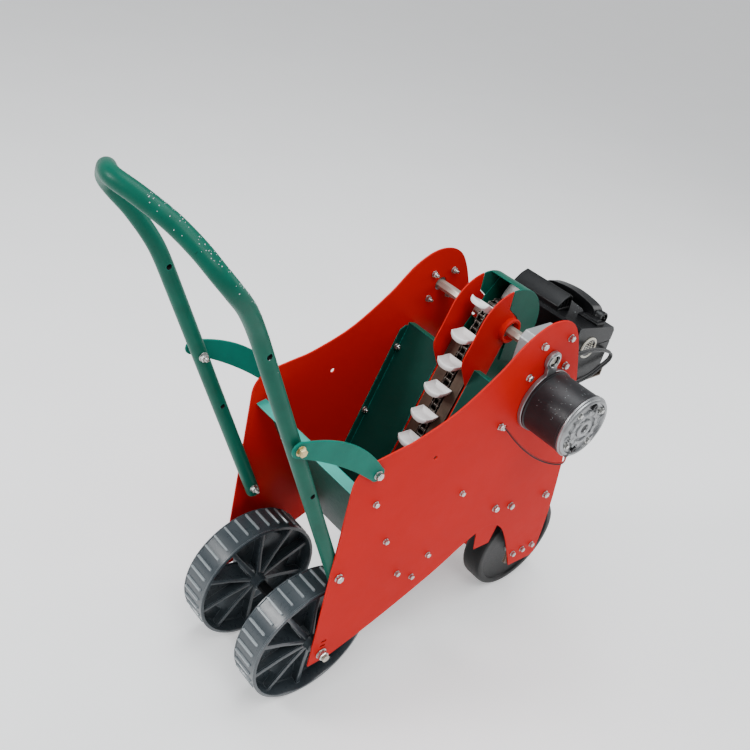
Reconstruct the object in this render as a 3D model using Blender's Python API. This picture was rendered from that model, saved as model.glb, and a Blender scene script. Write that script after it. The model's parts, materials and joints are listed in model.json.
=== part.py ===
"""Hand-pushed single-row seeder: two sheet side plates carry a hopper, a
chain-and-spoon elevator driven by a gear motor, a battery, four wheels and a
bent tube handle.  Metres, +Z up, +X the way it travels, +Y to its left.

Measures are taken from the rear axle (x) and the middle plane between the
side plates (y); place_on_origin moves the finished machine so that the origin
lies on the ground under the middle of its box."""

import math

import bmesh
import bpy
from mathutils import Matrix, Vector

# ---- driving dimensions -------------------------------------------------
GAP = 0.0003                      # kept between touching pieces
CENTRE_X = 0.1369                 # middle of the machine's box, from the axle
CENTRE_Y = -0.0416

PLATE_OUT = 0.1356                # outer face of a side plate, from the middle
PLATE_T = 0.003
PLATE_IN = PLATE_OUT - PLATE_T

REAR_R = 0.125                    # rear wheels
REAR_IN = 0.0525
REAR_OUT = 0.1118
REAR_SIDES = 32
REAR_SPOKES = 10
AXLE_R = 0.007

FRONT_X = 0.551                   # front wheels
FRONT_R = 0.109
FRONT_IN = 0.055
FRONT_OUT = 0.100
FRONT_SIDES = 32
STUB_R = 0.008

TUBE_R = 0.0125                   # handle
TUBE_Y = PLATE_IN - TUBE_R - GAP
HANDLE_FOOT = (0.0055, 0.288)
HANDLE_BOLT = (-0.0030, 0.3065)
LINK_TUBE = (-0.1475, 0.6200)     # the link arm's two bolts
LINK_PLATE = (0.0200, 0.5170)
LINK_T = 0.004
LINK_Y = PLATE_OUT + GAP

SHAFT = (0.375, 0.634)            # hexagonal drive shaft
HEX_FLATS = 0.0165
LEAN = math.radians(17.5)         # elevator, from upright
RUN = 0.323                       # head shaft to foot shaft
SPROCKET_R = 0.033                # pitch radius
TEETH = 16
CHAIN_HALF = 0.006                # half the height of the chain's links
SPOON_COUNT = 16
SPOON_FIRST = 0.0187              # first spoon, below the foot tangent
FOOT_SHAFT_R = 0.005
CASING_R = 0.077                  # casing, from the shaft centres
CHEEK_IN = 0.0340
CHEEK_T = 0.0025

MOTOR = (0.390, 0.550)            # motor axis
MOTOR_R = 0.059
MOTOR_IN = 0.1442
MOTOR_OUT = 0.2215
CAP_OUT = 0.2315
GEARBOX_IN = 0.0906
COVER_OUT = 0.1439

SHEET = 0.002                     # hopper and chute sheet
BOX_X = (0.530, 0.645)            # battery box
BOX_Y = (-0.080, 0.100)
BOX_Z = (0.500, 0.624)

RED = (0.72, 0.055, 0.035)
GREEN = (0.010, 0.235, 0.165)
DARK_GREEN = (0.006, 0.115, 0.085)
STEEL = (0.55, 0.55, 0.53)
BARE = (0.20, 0.16, 0.13)
BLACK = (0.015, 0.016, 0.018)
GREY = (0.045, 0.055, 0.062)
WHITE = (0.82, 0.82, 0.80)
ALLOY = (0.58, 0.59, 0.60)

# ---- small tools --------------------------------------------------------
MATERIALS = {}


def material(name, colour, roughness, metallic):
    """One Principled material, made once."""
    if name not in MATERIALS:
        made = bpy.data.materials.new(name)
        made.use_nodes = True
        shader = made.node_tree.nodes["Principled BSDF"]
        shader.inputs["Base Color"].default_value = (*colour, 1.0)
        shader.inputs["Roughness"].default_value = roughness
        shader.inputs["Metallic"].default_value = metallic
        made.diffuse_color = (*colour, 1.0)
        MATERIALS[name] = made
    return MATERIALS[name]


def paint_red():
    return material("red_paint", RED, 0.35, 0.0)


def paint_green():
    return material("green_paint", GREEN, 0.35, 0.0)


def paint_dark_green():
    return material("dark_green_paint", DARK_GREEN, 0.40, 0.0)


def zinc():
    return material("zinc_steel", STEEL, 0.35, 1.0)


def bare_steel():
    return material("bare_steel", BARE, 0.45, 0.9)


def black_plastic():
    return material("black_plastic", BLACK, 0.45, 0.0)


def grey_plastic():
    return material("grey_plastic", GREY, 0.50, 0.0)


def white_plastic():
    return material("white_plastic", WHITE, 0.45, 0.0)


def cast_alloy():
    return material("cast_alloy", ALLOY, 0.45, 0.9)


def motor_paint():
    return material("motor_black", BLACK, 0.30, 0.2)


def cable_rubber():
    return material("cable_black", BLACK, 0.60, 0.0)


def finish(name, bm, look, origin=(0.0, 0.0, 0.0)):
    """Turn a bmesh into a named object whose origin is at the given point."""
    bmesh.ops.remove_doubles(bm, verts=bm.verts, dist=1e-6)
    bmesh.ops.recalc_face_normals(bm, faces=bm.faces)
    bmesh.ops.translate(bm, verts=bm.verts, vec=-Vector(origin))
    mesh = bpy.data.meshes.new(name)
    bm.to_mesh(mesh)
    bm.free()
    mesh.shade_smooth()
    mesh.set_sharp_from_angle(angle=math.radians(35))
    thing = bpy.data.objects.new(name, mesh)
    thing.location = origin
    mesh.materials.append(look)
    bpy.context.collection.objects.link(thing)
    return thing


def prism(bm, outline, y0, y1):
    """Closed solid: an outline in X and Z, pushed from y0 to y1."""
    near = [bm.verts.new((x, y0, z)) for x, z in outline]
    far = [bm.verts.new((x, y1, z)) for x, z in outline]
    bm.faces.new(near)
    bm.faces.new(far[::-1])
    count = len(outline)
    for i in range(count):
        j = (i + 1) % count
        bm.faces.new((near[j], near[i], far[i], far[j]))


def box(bm, low, high):
    """Closed box between two corners."""
    outline = [(low[0], low[2]), (high[0], low[2]), (high[0], high[2]), (low[0], high[2])]
    prism(bm, outline, low[1], high[1])


def circle(centre, radius, sides, turn=0.0):
    """Points of a circle in X and Z."""
    cx, cz = centre
    step = 2 * math.pi / sides
    return [(cx + radius * math.cos(turn + i * step), cz + radius * math.sin(turn + i * step))
            for i in range(sides)]


def arc(centre, radius, start, end, steps):
    """Points of an arc in X and Z, angles in degrees."""
    cx, cz = centre
    points = []
    for i in range(steps + 1):
        a = math.radians(start + (end - start) * i / steps)
        points.append((cx + radius * math.cos(a), cz + radius * math.sin(a)))
    return points


def smooth(points, steps):
    """A smooth curve through the points (Catmull-Rom), of any dimension."""
    padded = [points[0]] + list(points) + [points[-1]]
    curve = []
    for k in range(1, len(padded) - 2):
        p0, p1, p2, p3 = (Vector(p) for p in padded[k - 1:k + 3])
        for i in range(steps):
            t = i / steps
            curve.append(tuple(0.5 * (2 * p1 + (p2 - p0) * t + (2 * p0 - 5 * p1 + 4 * p2 - p3) * t ** 2
                                      + (3 * p1 - p0 - 3 * p2 + p3) * t ** 3)))
    curve.append(tuple(points[-1]))
    return curve


def turned(bm, profile, centre, sides, turn=0.0):
    """Revolve a closed profile of (radius, y) about a line along Y."""
    cx, cz = centre
    rings = []
    for i in range(sides):
        a = turn + 2 * math.pi * i / sides
        rings.append([bm.verts.new((cx + r * math.cos(a), y, cz + r * math.sin(a))) for r, y in profile])
    count = len(profile)
    for i in range(sides):
        here = rings[i]
        there = rings[(i + 1) % sides]
        for k in range(count):
            m = (k + 1) % count
            bm.faces.new((here[k], here[m], there[m], there[k]))


def rod(bm, profile, centre, sides, turn=0.0):
    """Revolve an open profile of (radius, y) and cap both ends."""
    cx, cz = centre
    rings = []
    for r, y in profile:
        rings.append([bm.verts.new((cx + r * math.cos(turn + 2 * math.pi * i / sides), y,
                                    cz + r * math.sin(turn + 2 * math.pi * i / sides)))
                      for i in range(sides)])
    for here, there in zip(rings[:-1], rings[1:]):
        for i in range(sides):
            j = (i + 1) % sides
            bm.faces.new((here[i], here[j], there[j], there[i]))
    bm.faces.new(rings[0][::-1])
    bm.faces.new(rings[-1])


def boolean(target, tool, kind):
    """Cut a hidden tool from the target, or join it on."""
    tool.hide_render = True
    tool.display_type = 'WIRE'
    step = target.modifiers.new(kind.lower(), 'BOOLEAN')
    step.operation = kind
    step.solver = 'EXACT'
    step.object = tool
    return target


def hole(target, centre, radius, y0, y1, sides=16):
    """Round hole along Y."""
    bm = bmesh.new()
    prism(bm, circle(centre, radius, sides), y0, y1)
    return boolean(target, finish(target.name + "_drill", bm, zinc()), 'DIFFERENCE')


def mirrored(name, source, look):
    """Copy an object to the other side of the middle plane."""
    mesh = source.data.copy()
    mesh.transform(Matrix.Diagonal((1.0, -1.0, 1.0, 1.0)))
    mesh.flip_normals()
    mesh.materials.clear()
    mesh.materials.append(look)
    copy = bpy.data.objects.new(name, mesh)
    copy.location = (source.location.x, -source.location.y, source.location.z)
    bpy.context.collection.objects.link(copy)
    return copy


# ---- frame --------------------------------------------------------------
def plate_outline():
    """Side plate: sagging top edge up to a hump, arch over the seed boot."""
    corner = arc((0.020, 0.499), 0.042, 180, 95, 5)
    top = smooth([(0.060, 0.5480), (0.100, 0.5560), (0.175, 0.5850), (0.249, 0.6370), (0.300, 0.6850),
                  (0.350, 0.7070), (0.400, 0.6990), (0.435, 0.6610), (0.476, 0.5720)], 3)
    front = [(0.540, 0.360), (0.560, 0.247), (0.568, 0.150)]
    toe = arc((0.552, 0.119), 0.016, 0, -90, 3)
    arch = smooth([(0.492, 0.104), (0.449, 0.189), (0.412, 0.241), (0.365, 0.265), (0.309, 0.243),
                   (0.240, 0.201), (0.120, 0.144), (0.020, 0.106)], 3)
    heel = [(-0.024, 0.103)]
    return corner + top + front + toe + arch + heel


def side_plate(name, side):
    y0 = side * PLATE_IN
    y1 = side * PLATE_OUT
    bm = bmesh.new()
    prism(bm, plate_outline(), y0, y1)
    plate = finish(name, bm, paint_red())
    low = min(y0, y1) - 0.01
    high = max(y0, y1) + 0.01
    hole(plate, (0.0, REAR_R), AXLE_R + GAP, low, high)
    hole(plate, SHAFT, 0.0125, low, high, 20)
    hole(plate, (0.151, 0.501), 0.004, low, high, 10)
    return plate


def right_plate():
    plate = side_plate("side_plate_right", -1)
    hole(plate, (0.312, 0.511), 0.0045, -PLATE_OUT - 0.01, -PLATE_IN + 0.01, 12)
    return plate


def rear_axle():
    end = PLATE_OUT + 0.016
    bm = bmesh.new()
    rod(bm, [(AXLE_R - 0.001, -end), (AXLE_R, -end + 0.001), (AXLE_R, end - 0.001), (AXLE_R - 0.001, end)],
        (0.0, REAR_R), 16)
    return finish("rear_axle", bm, zinc())


def axle_nut(name, side):
    """Hexagon nut with its washer face against the plate."""
    bm = bmesh.new()
    y0 = side * (PLATE_OUT + GAP)
    y1 = side * (PLATE_OUT + 0.002)
    y2 = side * (PLATE_OUT + 0.012)
    bore = AXLE_R + GAP
    turned(bm, [(bore, y0), (0.0130, y0), (0.0130, y1), (0.0118, y1), (0.0118, y2), (bore, y2)],
           (0.0, REAR_R), 12)
    return finish(name, bm, zinc())


def axle_sleeve():
    half = REAR_IN - 0.012
    bm = bmesh.new()
    turned(bm, [(AXLE_R + GAP, -half), (0.0100, -half), (0.0100, half), (AXLE_R + GAP, half)],
           (0.0, REAR_R), 16)
    return finish("axle_sleeve", bm, black_plastic())


def rear_wheel_rim(bm):
    """Tread ring with a web ring inside it, both as one turned profile."""
    outer = REAR_R / math.cos(math.pi / REAR_SIDES)
    middle = (REAR_IN + REAR_OUT) / 2
    profile = [(outer - 0.0025, REAR_IN), (outer, REAR_IN + 0.0025), (outer, REAR_OUT - 0.0025),
               (outer - 0.0025, REAR_OUT), (outer - 0.007, REAR_OUT), (outer - 0.008, middle + 0.003),
               (0.088, middle + 0.0025), (0.088, middle - 0.0025), (outer - 0.008, middle - 0.003),
               (outer - 0.007, REAR_IN)]
    turned(bm, profile, (0.0, 0.0), REAR_SIDES, math.pi / REAR_SIDES)


def rear_wheel_hub(bm):
    bore = AXLE_R + 0.0004
    turned(bm, [(bore, REAR_IN - 0.0115), (0.0135, REAR_IN - 0.0115), (0.0165, REAR_IN + 0.012),
                (0.0165, REAR_OUT - 0.010), (0.0135, REAR_OUT + 0.008), (bore, REAR_OUT + 0.008)],
           (0.0, 0.0), 20)


def rear_wheel_spoke(bm, angle):
    """Blade from hub to rim, wide along the axle and thin across it."""
    half = 0.0025
    middle = (REAR_IN + REAR_OUT) / 2
    inner = 0.0150
    outer = 0.1185
    corners = []
    for r, wide in ((inner, 0.0240), (outer, 0.0160)):
        for y in (middle - wide, middle + wide):
            for t in (-half, half):
                corners.append(bm.verts.new((r * math.cos(angle) - t * math.sin(angle), y,
                                             r * math.sin(angle) + t * math.cos(angle))))
    for loop in ((0, 1, 3, 2), (4, 6, 7, 5), (0, 4, 5, 1), (2, 3, 7, 6), (0, 2, 6, 4), (1, 5, 7, 3)):
        bm.faces.new([corners[i] for i in loop])


def rear_wheel():
    """Right-hand rear wheel: rim, spokes and hub moulded as one piece."""
    centre = (0.0, 0.0, REAR_R)
    bm = bmesh.new()
    rear_wheel_rim(bm)
    wheel = finish("rear_wheel_right", bm, grey_plastic())
    bm = bmesh.new()
    rear_wheel_hub(bm)
    tools = [finish("hub_tool", bm, grey_plastic())]
    for k in range(REAR_SPOKES):
        bm = bmesh.new()
        rear_wheel_spoke(bm, 2 * math.pi * k / REAR_SPOKES)
        tools.append(finish("spoke_tool", bm, grey_plastic()))
    for tool in tools[1:] + tools[:1]:
        boolean(wheel, tool, 'UNION')
    wheel = bake(wheel)
    wheel.data.transform(Matrix.Diagonal((1.0, -1.0, 1.0, 1.0)))
    wheel.data.flip_normals()
    wheel.location = centre
    return wheel


def bake(thing):
    """Replace an object's mesh by its evaluated one and drop its modifiers."""
    graph = bpy.context.evaluated_depsgraph_get()
    mesh = bpy.data.meshes.new_from_object(thing.evaluated_get(graph))
    tools = [step.object for step in thing.modifiers if step.type == 'BOOLEAN']
    thing.modifiers.clear()
    thing.data = mesh
    for tool in tools:
        bpy.data.objects.remove(tool)
    return thing


def front_wheel():
    """Right-hand front wheel: a plain moulded disc with a raised rim and hub."""
    outer = FRONT_R / math.cos(math.pi / FRONT_SIDES)
    bore = STUB_R + 0.0004
    dish = FRONT_OUT - 0.004
    profile = [(bore, -FRONT_OUT), (0.024, -FRONT_OUT), (0.026, -dish), (0.092, -dish),
               (0.095, -FRONT_OUT), (outer - 0.003, -FRONT_OUT), (outer, -FRONT_OUT + 0.003),
               (outer, -FRONT_IN - 0.003), (outer - 0.003, -FRONT_IN), (0.095, -FRONT_IN),
               (0.092, -FRONT_IN - 0.004), (0.026, -FRONT_IN - 0.004), (0.024, -FRONT_IN), (bore, -FRONT_IN)]
    bm = bmesh.new()
    turned(bm, profile, (0.0, 0.0), FRONT_SIDES, math.pi / FRONT_SIDES)
    wheel = finish("front_wheel_right", bm, black_plastic())
    wheel.location = (FRONT_X, 0.0, FRONT_R)
    return wheel


def front_bracket():
    """Right-hand bracket: plate on the side plate, boss for the stub bolt."""
    outline = [(0.478, 0.113), (0.490, 0.107), (0.562, 0.107), (0.566, 0.116), (0.566, 0.152), (0.560, 0.158),
               (0.484, 0.158), (0.478, 0.152)]
    y0 = -PLATE_IN + GAP
    y1 = y0 + 0.005
    bm = bmesh.new()
    prism(bm, outline, y0, y1)
    bracket = finish("front_bracket_right", bm, bare_steel())
    bm = bmesh.new()
    low = y1 - 0.002
    high = -FRONT_OUT - 0.0012
    rod(bm, [(0.016, low), (0.016, high)], (FRONT_X, FRONT_R), 20)
    boolean(bracket, finish("boss_tool", bm, bare_steel()), 'UNION')
    hole(bracket, (FRONT_X, FRONT_R), STUB_R + GAP, y0 - 0.01, high + 0.01)
    return bake(bracket)


def front_bolt():
    """Right-hand shoulder bolt that the front wheel turns on."""
    bm = bmesh.new()
    head = -FRONT_IN + GAP
    rod(bm, [(0.0130, head + 0.007), (0.0130, head), (STUB_R, head), (STUB_R, -PLATE_IN + 0.001)],
        (FRONT_X, FRONT_R), 16)
    return finish("front_bolt_right", bm, zinc())


# ---- handle -------------------------------------------------------------
def handle_route():
    """Centre line of the right half, from the foot to the middle of the bar."""
    leg = [(HANDLE_FOOT[0], -TUBE_Y, HANDLE_FOOT[1]), (-0.0970, -TUBE_Y, 0.5120),
           (-0.2060, -TUBE_Y, 0.7470)]
    bend = [(-0.2370, -0.1215, 0.8120), (-0.2680, -0.1335, 0.8600), (-0.2960, -0.1405, 0.8930),
            (-0.3120, -0.1330, 0.9130), (-0.3260, -0.1080, 0.9340), (-0.3420, -0.0750, 0.9530),
            (-0.3620, -0.0370, 0.9690), (-0.3740, 0.0, 0.9760)]
    return leg + bend


def handle_tube():
    """One bent tube: two straight legs, a bowed bar across the top."""
    half = handle_route()
    other = [(x, -y, z) for x, y, z in half[-2::-1]]
    line = bpy.data.curves.new("handle_tube", 'CURVE')
    line.dimensions = '3D'
    route = [half[0]] + smooth((half + other)[2:-2], 3) + [other[-1]]
    path = line.splines.new('POLY')
    path.points.add(len(route) - 1)
    for point, place in zip(path.points, route):
        point.co = (*place, 1.0)
    line.bevel_depth = TUBE_R
    line.bevel_resolution = 3
    line.use_fill_caps = True
    line.materials.append(paint_green())
    tube = bpy.data.objects.new("handle_tube", line)
    bpy.context.collection.objects.link(tube)
    return tube


def link_outline():
    """Crescent bar between the two link bolts, bulging upwards."""
    start = Vector(LINK_TUBE)
    end = Vector(LINK_PLATE)
    along = (end - start).normalized()
    up = Vector((-along.y, along.x))
    length = (end - start).length
    tip = 0.0135
    upper = []
    lower = []
    for i in range(9):
        t = i / 8
        swell = 4 * t * (1 - t)
        spot = start + along * (length * t)
        upper.append(tuple(spot + up * (tip + 0.019 * swell)))
        lower.append(tuple(spot - up * (tip - 0.008 * swell)))
    base = math.degrees(math.atan2(along.y, along.x))
    nose = arc(tuple(end), tip, base + 60, base - 60, 4)
    tail = arc(tuple(start), tip, base + 240, base + 120, 4)
    return upper + nose + lower[::-1] + tail


def link_arm():
    y0 = -LINK_Y - LINK_T
    bm = bmesh.new()
    prism(bm, link_outline(), y0, -LINK_Y)
    arm = finish("link_arm_right", bm, paint_green())
    hole(arm, LINK_TUBE, 0.0053, y0 - 0.01, -LINK_Y + 0.01, 12)
    return bake(arm)


def link_bolt():
    """Right-hand bolt through the link arm, its washer resting on the arm."""
    washer = -LINK_Y - LINK_T - GAP
    bm = bmesh.new()
    rod(bm, [(0.0075, washer - 0.0075), (0.0075, washer - 0.0016), (0.0100, washer - 0.0016),
             (0.0100, washer), (0.0045, washer), (0.0045, -TUBE_Y - TUBE_R - GAP)], LINK_TUBE, 12)
    return finish("link_bolt_right", bm, zinc())


# ---- elevator -----------------------------------------------------------
def lift(s, n):
    """Point at s along the elevator from the head shaft, n to its rear side."""
    x = SHAFT[0] + s * math.sin(LEAN) - n * math.cos(LEAN)
    z = SHAFT[1] + s * math.cos(LEAN) + n * math.sin(LEAN)
    return (x, z)


def lift_arc(s, radius, start, end, steps):
    """Arc about a point on the shafts' line; 0 degrees points to the rear side."""
    points = []
    for i in range(steps + 1):
        a = math.radians(start + (end - start) * i / steps)
        points.append(lift(s + radius * math.sin(a), radius * math.cos(a)))
    return points


def hex_shaft():
    radius = HEX_FLATS / 2 / math.cos(math.pi / 6)
    bm = bmesh.new()
    rod(bm, [(radius - 0.001, -0.1415), (radius, -0.1405), (radius, 0.1500), (radius - 0.001, 0.1510)],
        (0.0, 0.0), 6)
    shaft = finish("hex_shaft", bm, zinc())
    shaft.location = (SHAFT[0], 0.0, SHAFT[1])
    return shaft


def sprocket_outline():
    """Teeth as flat-topped wedges round the pitch circle."""
    points = []
    step = 2 * math.pi / TEETH
    for k in range(TEETH):
        for share, radius in ((-0.30, 0.0285), (-0.10, 0.0360), (0.10, 0.0360), (0.30, 0.0285)):
            a = (k + share) * step
            points.append((radius * math.cos(a), radius * math.sin(a)))
    return points


def sprocket(name, bore, bore_sides, place):
    bm = bmesh.new()
    prism(bm, sprocket_outline(), -0.0034, 0.0034)
    wheel = finish(name, bm, bare_steel())
    bm = bmesh.new()
    rod(bm, [(0.0165, -0.0095), (0.0165, 0.0095)], (0.0, 0.0), 20)
    boolean(wheel, finish("collar_tool", bm, bare_steel()), 'UNION')
    bm = bmesh.new()
    prism(bm, circle((0.0, 0.0), bore, bore_sides), -0.02, 0.02)
    boolean(wheel, finish("bore_tool", bm, bare_steel()), 'DIFFERENCE')
    wheel = bake(wheel)
    wheel.location = (place[0], 0.0, place[1])
    return wheel


def foot_shaft():
    end = CHEEK_IN + CHEEK_T + 0.0035
    bm = bmesh.new()
    rod(bm, [(0.0085, -end - 0.005), (0.0085, -end), (FOOT_SHAFT_R, -end), (FOOT_SHAFT_R, end + 0.004)],
        lift(-RUN, 0.0), 12)
    return finish("foot_shaft", bm, zinc())


def loop_frames():
    """Places round the chain: centre of turning, direction outwards, per step."""
    frames = []
    for i in range(13):
        a = math.pi * i / 12
        frames.append((0.0, math.cos(a), math.sin(a)))
    for i in range(13):
        a = math.pi * i / 12
        frames.append((-RUN, -math.cos(a), -math.sin(a)))
    return frames


def elevator_chain():
    """Endless chain as a band with a groove inside for the sprocket teeth."""
    inner = SPROCKET_R - CHAIN_HALF
    outer = SPROCKET_R + CHAIN_HALF
    groove = 0.0367
    profile = [(outer, -0.0085), (outer, 0.0085), (inner, 0.0085), (inner, 0.0040),
               (groove, 0.0040), (groove, -0.0040), (inner, -0.0040), (inner, -0.0085)]
    bm = bmesh.new()
    rings = []
    for s, out_n, out_s in loop_frames():
        ring = []
        for r, y in profile:
            x, z = lift(s + r * out_s, r * out_n)
            ring.append(bm.verts.new((x, y, z)))
        rings.append(ring)
    count = len(profile)
    for i, here in enumerate(rings):
        there = rings[(i + 1) % len(rings)]
        for k in range(count):
            m = (k + 1) % count
            bm.faces.new((here[k], here[m], there[m], there[k]))
    return finish("elevator_chain", bm, bare_steel())


def chain_place(distance):
    """(s, n, turn) on the pitch line, from the foot's rear tangent upwards."""
    half_turn = math.pi * SPROCKET_R
    if distance < RUN:
        return -RUN + distance, SPROCKET_R, 0.0
    distance -= RUN
    if distance < half_turn:
        a = distance / SPROCKET_R
        return SPROCKET_R * math.sin(a), SPROCKET_R * math.cos(a), a
    distance -= half_turn
    if distance < RUN:
        return -distance, -SPROCKET_R, math.pi
    a = math.pi + (distance - RUN) / SPROCKET_R
    return -RUN + SPROCKET_R * math.sin(a), SPROCKET_R * math.cos(a), a


def spoon(index):
    """Open scoop: half an oval in plan, standing out from the chain."""
    length = 2 * RUN + 2 * math.pi * SPROCKET_R
    s, n, turn = chain_place(SPOON_FIRST + index * length / SPOON_COUNT)
    along = Vector((math.cos(turn), -math.sin(turn)))
    out = Vector((math.sin(turn), math.cos(turn)))
    steps = 8
    loops = []
    for reach, wide, level, wall in ((0.034, 0.0200, 0.011, 0.0), (0.024, 0.0150, -0.011, 0.0),
                                     (0.034, 0.0200, 0.011, 0.0022), (0.024, 0.0150, -0.009, 0.0022)):
        loop = []
        for k in range(steps + 1):
            a = math.pi * k / steps - math.pi / 2
            d = CHAIN_HALF + GAP + wall + (reach - 2 * wall) * math.cos(a)
            y = (wide - wall) * math.sin(a)
            loop.append((d, y, level))
        loops.append(loop)
    bm = bmesh.new()
    rings = []
    for loop in loops:
        ring = []
        for d, y, level in loop:
            spot = Vector((s, n)) + along * level + out * d
            x, z = lift(spot.x, spot.y)
            ring.append(bm.verts.new((x, y, z)))
        rings.append(ring)
    for first, second in ((0, 1), (3, 2), (2, 0)):
        for k in range(steps + 1):
            m = (k + 1) % (steps + 1)
            bm.faces.new((rings[first][k], rings[first][m], rings[second][m], rings[second][k]))
    bm.faces.new(rings[1])
    bm.faces.new(rings[3][::-1])
    return finish("spoon_%02d" % (index + 1), bm, white_plastic())


def cheek_outline():
    """Rear half of the elevator's side: round head, straight tail."""
    head = lift_arc(0.0, CASING_R, 62, 0, 6)
    tail = [lift(-0.074, CASING_R), lift(-0.104, 0.047), lift(-0.118, 0.0330), lift(-RUN - 0.015, 0.0330),
            lift(-RUN - 0.030, 0.010), lift(-RUN - 0.015, -0.0080), lift(-0.027, -0.0080)]
    ring = [lift(-0.012, -0.0205), lift(0.012, -0.0205), lift(0.024, -0.006), lift(0.036, 0.024)]
    return head + tail + ring


def elevator_cheek():
    """Right-hand cheek with the raised collar round the shaft."""
    inner = -CHEEK_IN
    outer = -CHEEK_IN - CHEEK_T
    bm = bmesh.new()
    prism(bm, cheek_outline(), outer, inner)
    cheek = finish("elevator_cheek_right", bm, paint_red())
    bm = bmesh.new()
    rod(bm, [(0.0230, outer + 0.001), (0.0230, outer - 0.0085), (0.0215, outer - 0.0100)], SHAFT, 24)
    boolean(cheek, finish("collar_tool", bm, paint_red()), 'UNION')
    hole(cheek, SHAFT, 0.0165, outer - 0.02, inner + 0.01, 24)
    hole(cheek, lift(-RUN, 0.0), FOOT_SHAFT_R + GAP, outer - 0.02, inner + 0.01, 12)
    return bake(cheek)


def elevator_guide():
    """Steel guide: a side on each flank of the chain, joined between its strands."""
    web = [lift(-0.052, -0.030), lift(-0.052, 0.0360), lift(-RUN - 0.018, 0.0360), lift(-RUN - 0.018, -0.030)]
    face = [lift(-0.052, 0.0335), lift(-0.052, 0.0360), lift(-RUN + 0.020, 0.0360), lift(-RUN + 0.020, 0.0335)]
    core = [lift(-0.056, -0.004), lift(-0.056, 0.004), lift(-RUN + 0.056, 0.004), lift(-RUN + 0.056, -0.004)]
    bm = bmesh.new()
    prism(bm, core, -0.0120, 0.0120)
    guide = finish("elevator_guide", bm, bare_steel())
    for side in (-1, 1):
        bm = bmesh.new()
        prism(bm, web, *sorted((side * 0.0130, side * 0.0105)))
        boolean(guide, finish("web_tool", bm, bare_steel()), 'UNION')
        bm = bmesh.new()
        prism(bm, face, *sorted((side * 0.0320, side * 0.0115)))
        boolean(guide, finish("flange_tool", bm, bare_steel()), 'UNION')
    hole(guide, lift(-RUN, 0.0), FOOT_SHAFT_R + GAP, -0.02, 0.02, 12)
    return bake(guide)


def cover_outline(inset, open_end):
    """Casing side: from the top of the head over the front and down."""
    radius = CASING_R - 0.0005 - inset
    head = lift_arc(0.0, radius, 100, 180, 9)
    tail = [lift(-0.285 - open_end, -radius), lift(-0.285 - open_end, 0.020), lift(-0.030, 0.020),
            lift(0.014, 0.0065), lift(0.030, 0.0065)]
    return head + tail


def chute_cover():
    """Green channel that closes the front of the head and the falling side."""
    half = CHEEK_IN - GAP
    bm = bmesh.new()
    prism(bm, cover_outline(0.0, 0.0), -half, half)
    cover = finish("chute_cover", bm, paint_green())
    radius = CASING_R - 0.0005 - SHEET
    inside = lift_arc(0.0, radius, 88, 180, 9)
    inside += [lift(-0.330, -radius), lift(-0.330, 0.050), lift(0.090, 0.050)]
    bm = bmesh.new()
    prism(bm, inside, -half + SHEET, half - SHEET)
    boolean(cover, finish("inside_tool", bm, paint_green()), 'DIFFERENCE')
    hole(cover, SHAFT, 0.0165, -0.05, 0.05, 24)
    return bake(cover)


# ---- hopper -------------------------------------------------------------
def sheet_strip(bm, line, thickness, y0, y1):
    """Bent sheet: a line in X and Z thickened to one side, pushed along Y."""
    other = []
    count = len(line)
    for i, here in enumerate(line):
        before = Vector(line[max(i - 1, 0)])
        after = Vector(line[min(i + 1, count - 1)])
        spot = Vector(here)
        sides = []
        for a, b in ((before, spot), (spot, after)):
            if (b - a).length > 1e-9:
                d = (b - a).normalized()
                sides.append(Vector((-d.y, d.x)))
        normal = sum(sides, Vector((0.0, 0.0))).normalized()
        stretch = thickness / max(normal.dot(sides[0]), 0.3)
        other.append(tuple(spot + normal * stretch))
    prism(bm, list(line) + other[::-1], y0, y1)


def hopper_rear_panel():
    """Sloping rear wall with a top lip and two bolting flanges."""
    top = (0.0080, 0.4800)
    foot = (0.1480, 0.2150)
    half = PLATE_IN - GAP
    bm = bmesh.new()
    sheet_strip(bm, [foot, top, (-0.0090, 0.4760)], SHEET, -half, half)
    panel = finish("hopper_rear_panel", bm, paint_dark_green())
    down = (Vector(foot) - Vector(top)).normalized()
    inward = Vector((-down.y, down.x))
    for side in (-1, 1):
        start = Vector(top) + down * 0.012
        end = Vector(foot) - down * 0.012
        outline = [tuple(start - inward * 0.001), tuple(start + inward * 0.022), tuple(end + inward * 0.022),
                   tuple(end - inward * 0.001)]
        bm = bmesh.new()
        prism(bm, outline, *sorted((side * half, side * (half - SHEET))))
        boolean(panel, finish("flange_tool", bm, paint_dark_green()), 'UNION')
    return bake(panel)


def hopper_front_panel():
    """Right-hand half of the front wall, beside the elevator slot."""
    inner = -CHEEK_IN - CHEEK_T - 0.0012
    outer = -PLATE_IN + GAP
    top = -0.0855
    foot = -0.4120
    face = 0.0350
    bm = bmesh.new()
    line = [lift(top + 0.002, face - 0.016), lift(top + 0.002, face), lift(foot, face)]
    sheet_strip(bm, line, SHEET, outer, inner)
    panel = finish("hopper_front_panel_right", bm, paint_dark_green())
    flange = [lift(top - 0.014, face + 0.016), lift(top - 0.004, face + 0.006), lift(top - 0.004, face - 0.001),
              lift(foot + 0.004, face - 0.001), lift(foot + 0.030, face + 0.016)]
    bm = bmesh.new()
    prism(bm, flange, outer, outer + SHEET)
    boolean(panel, finish("flange_tool", bm, paint_dark_green()), 'UNION')
    return bake(panel)


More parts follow.
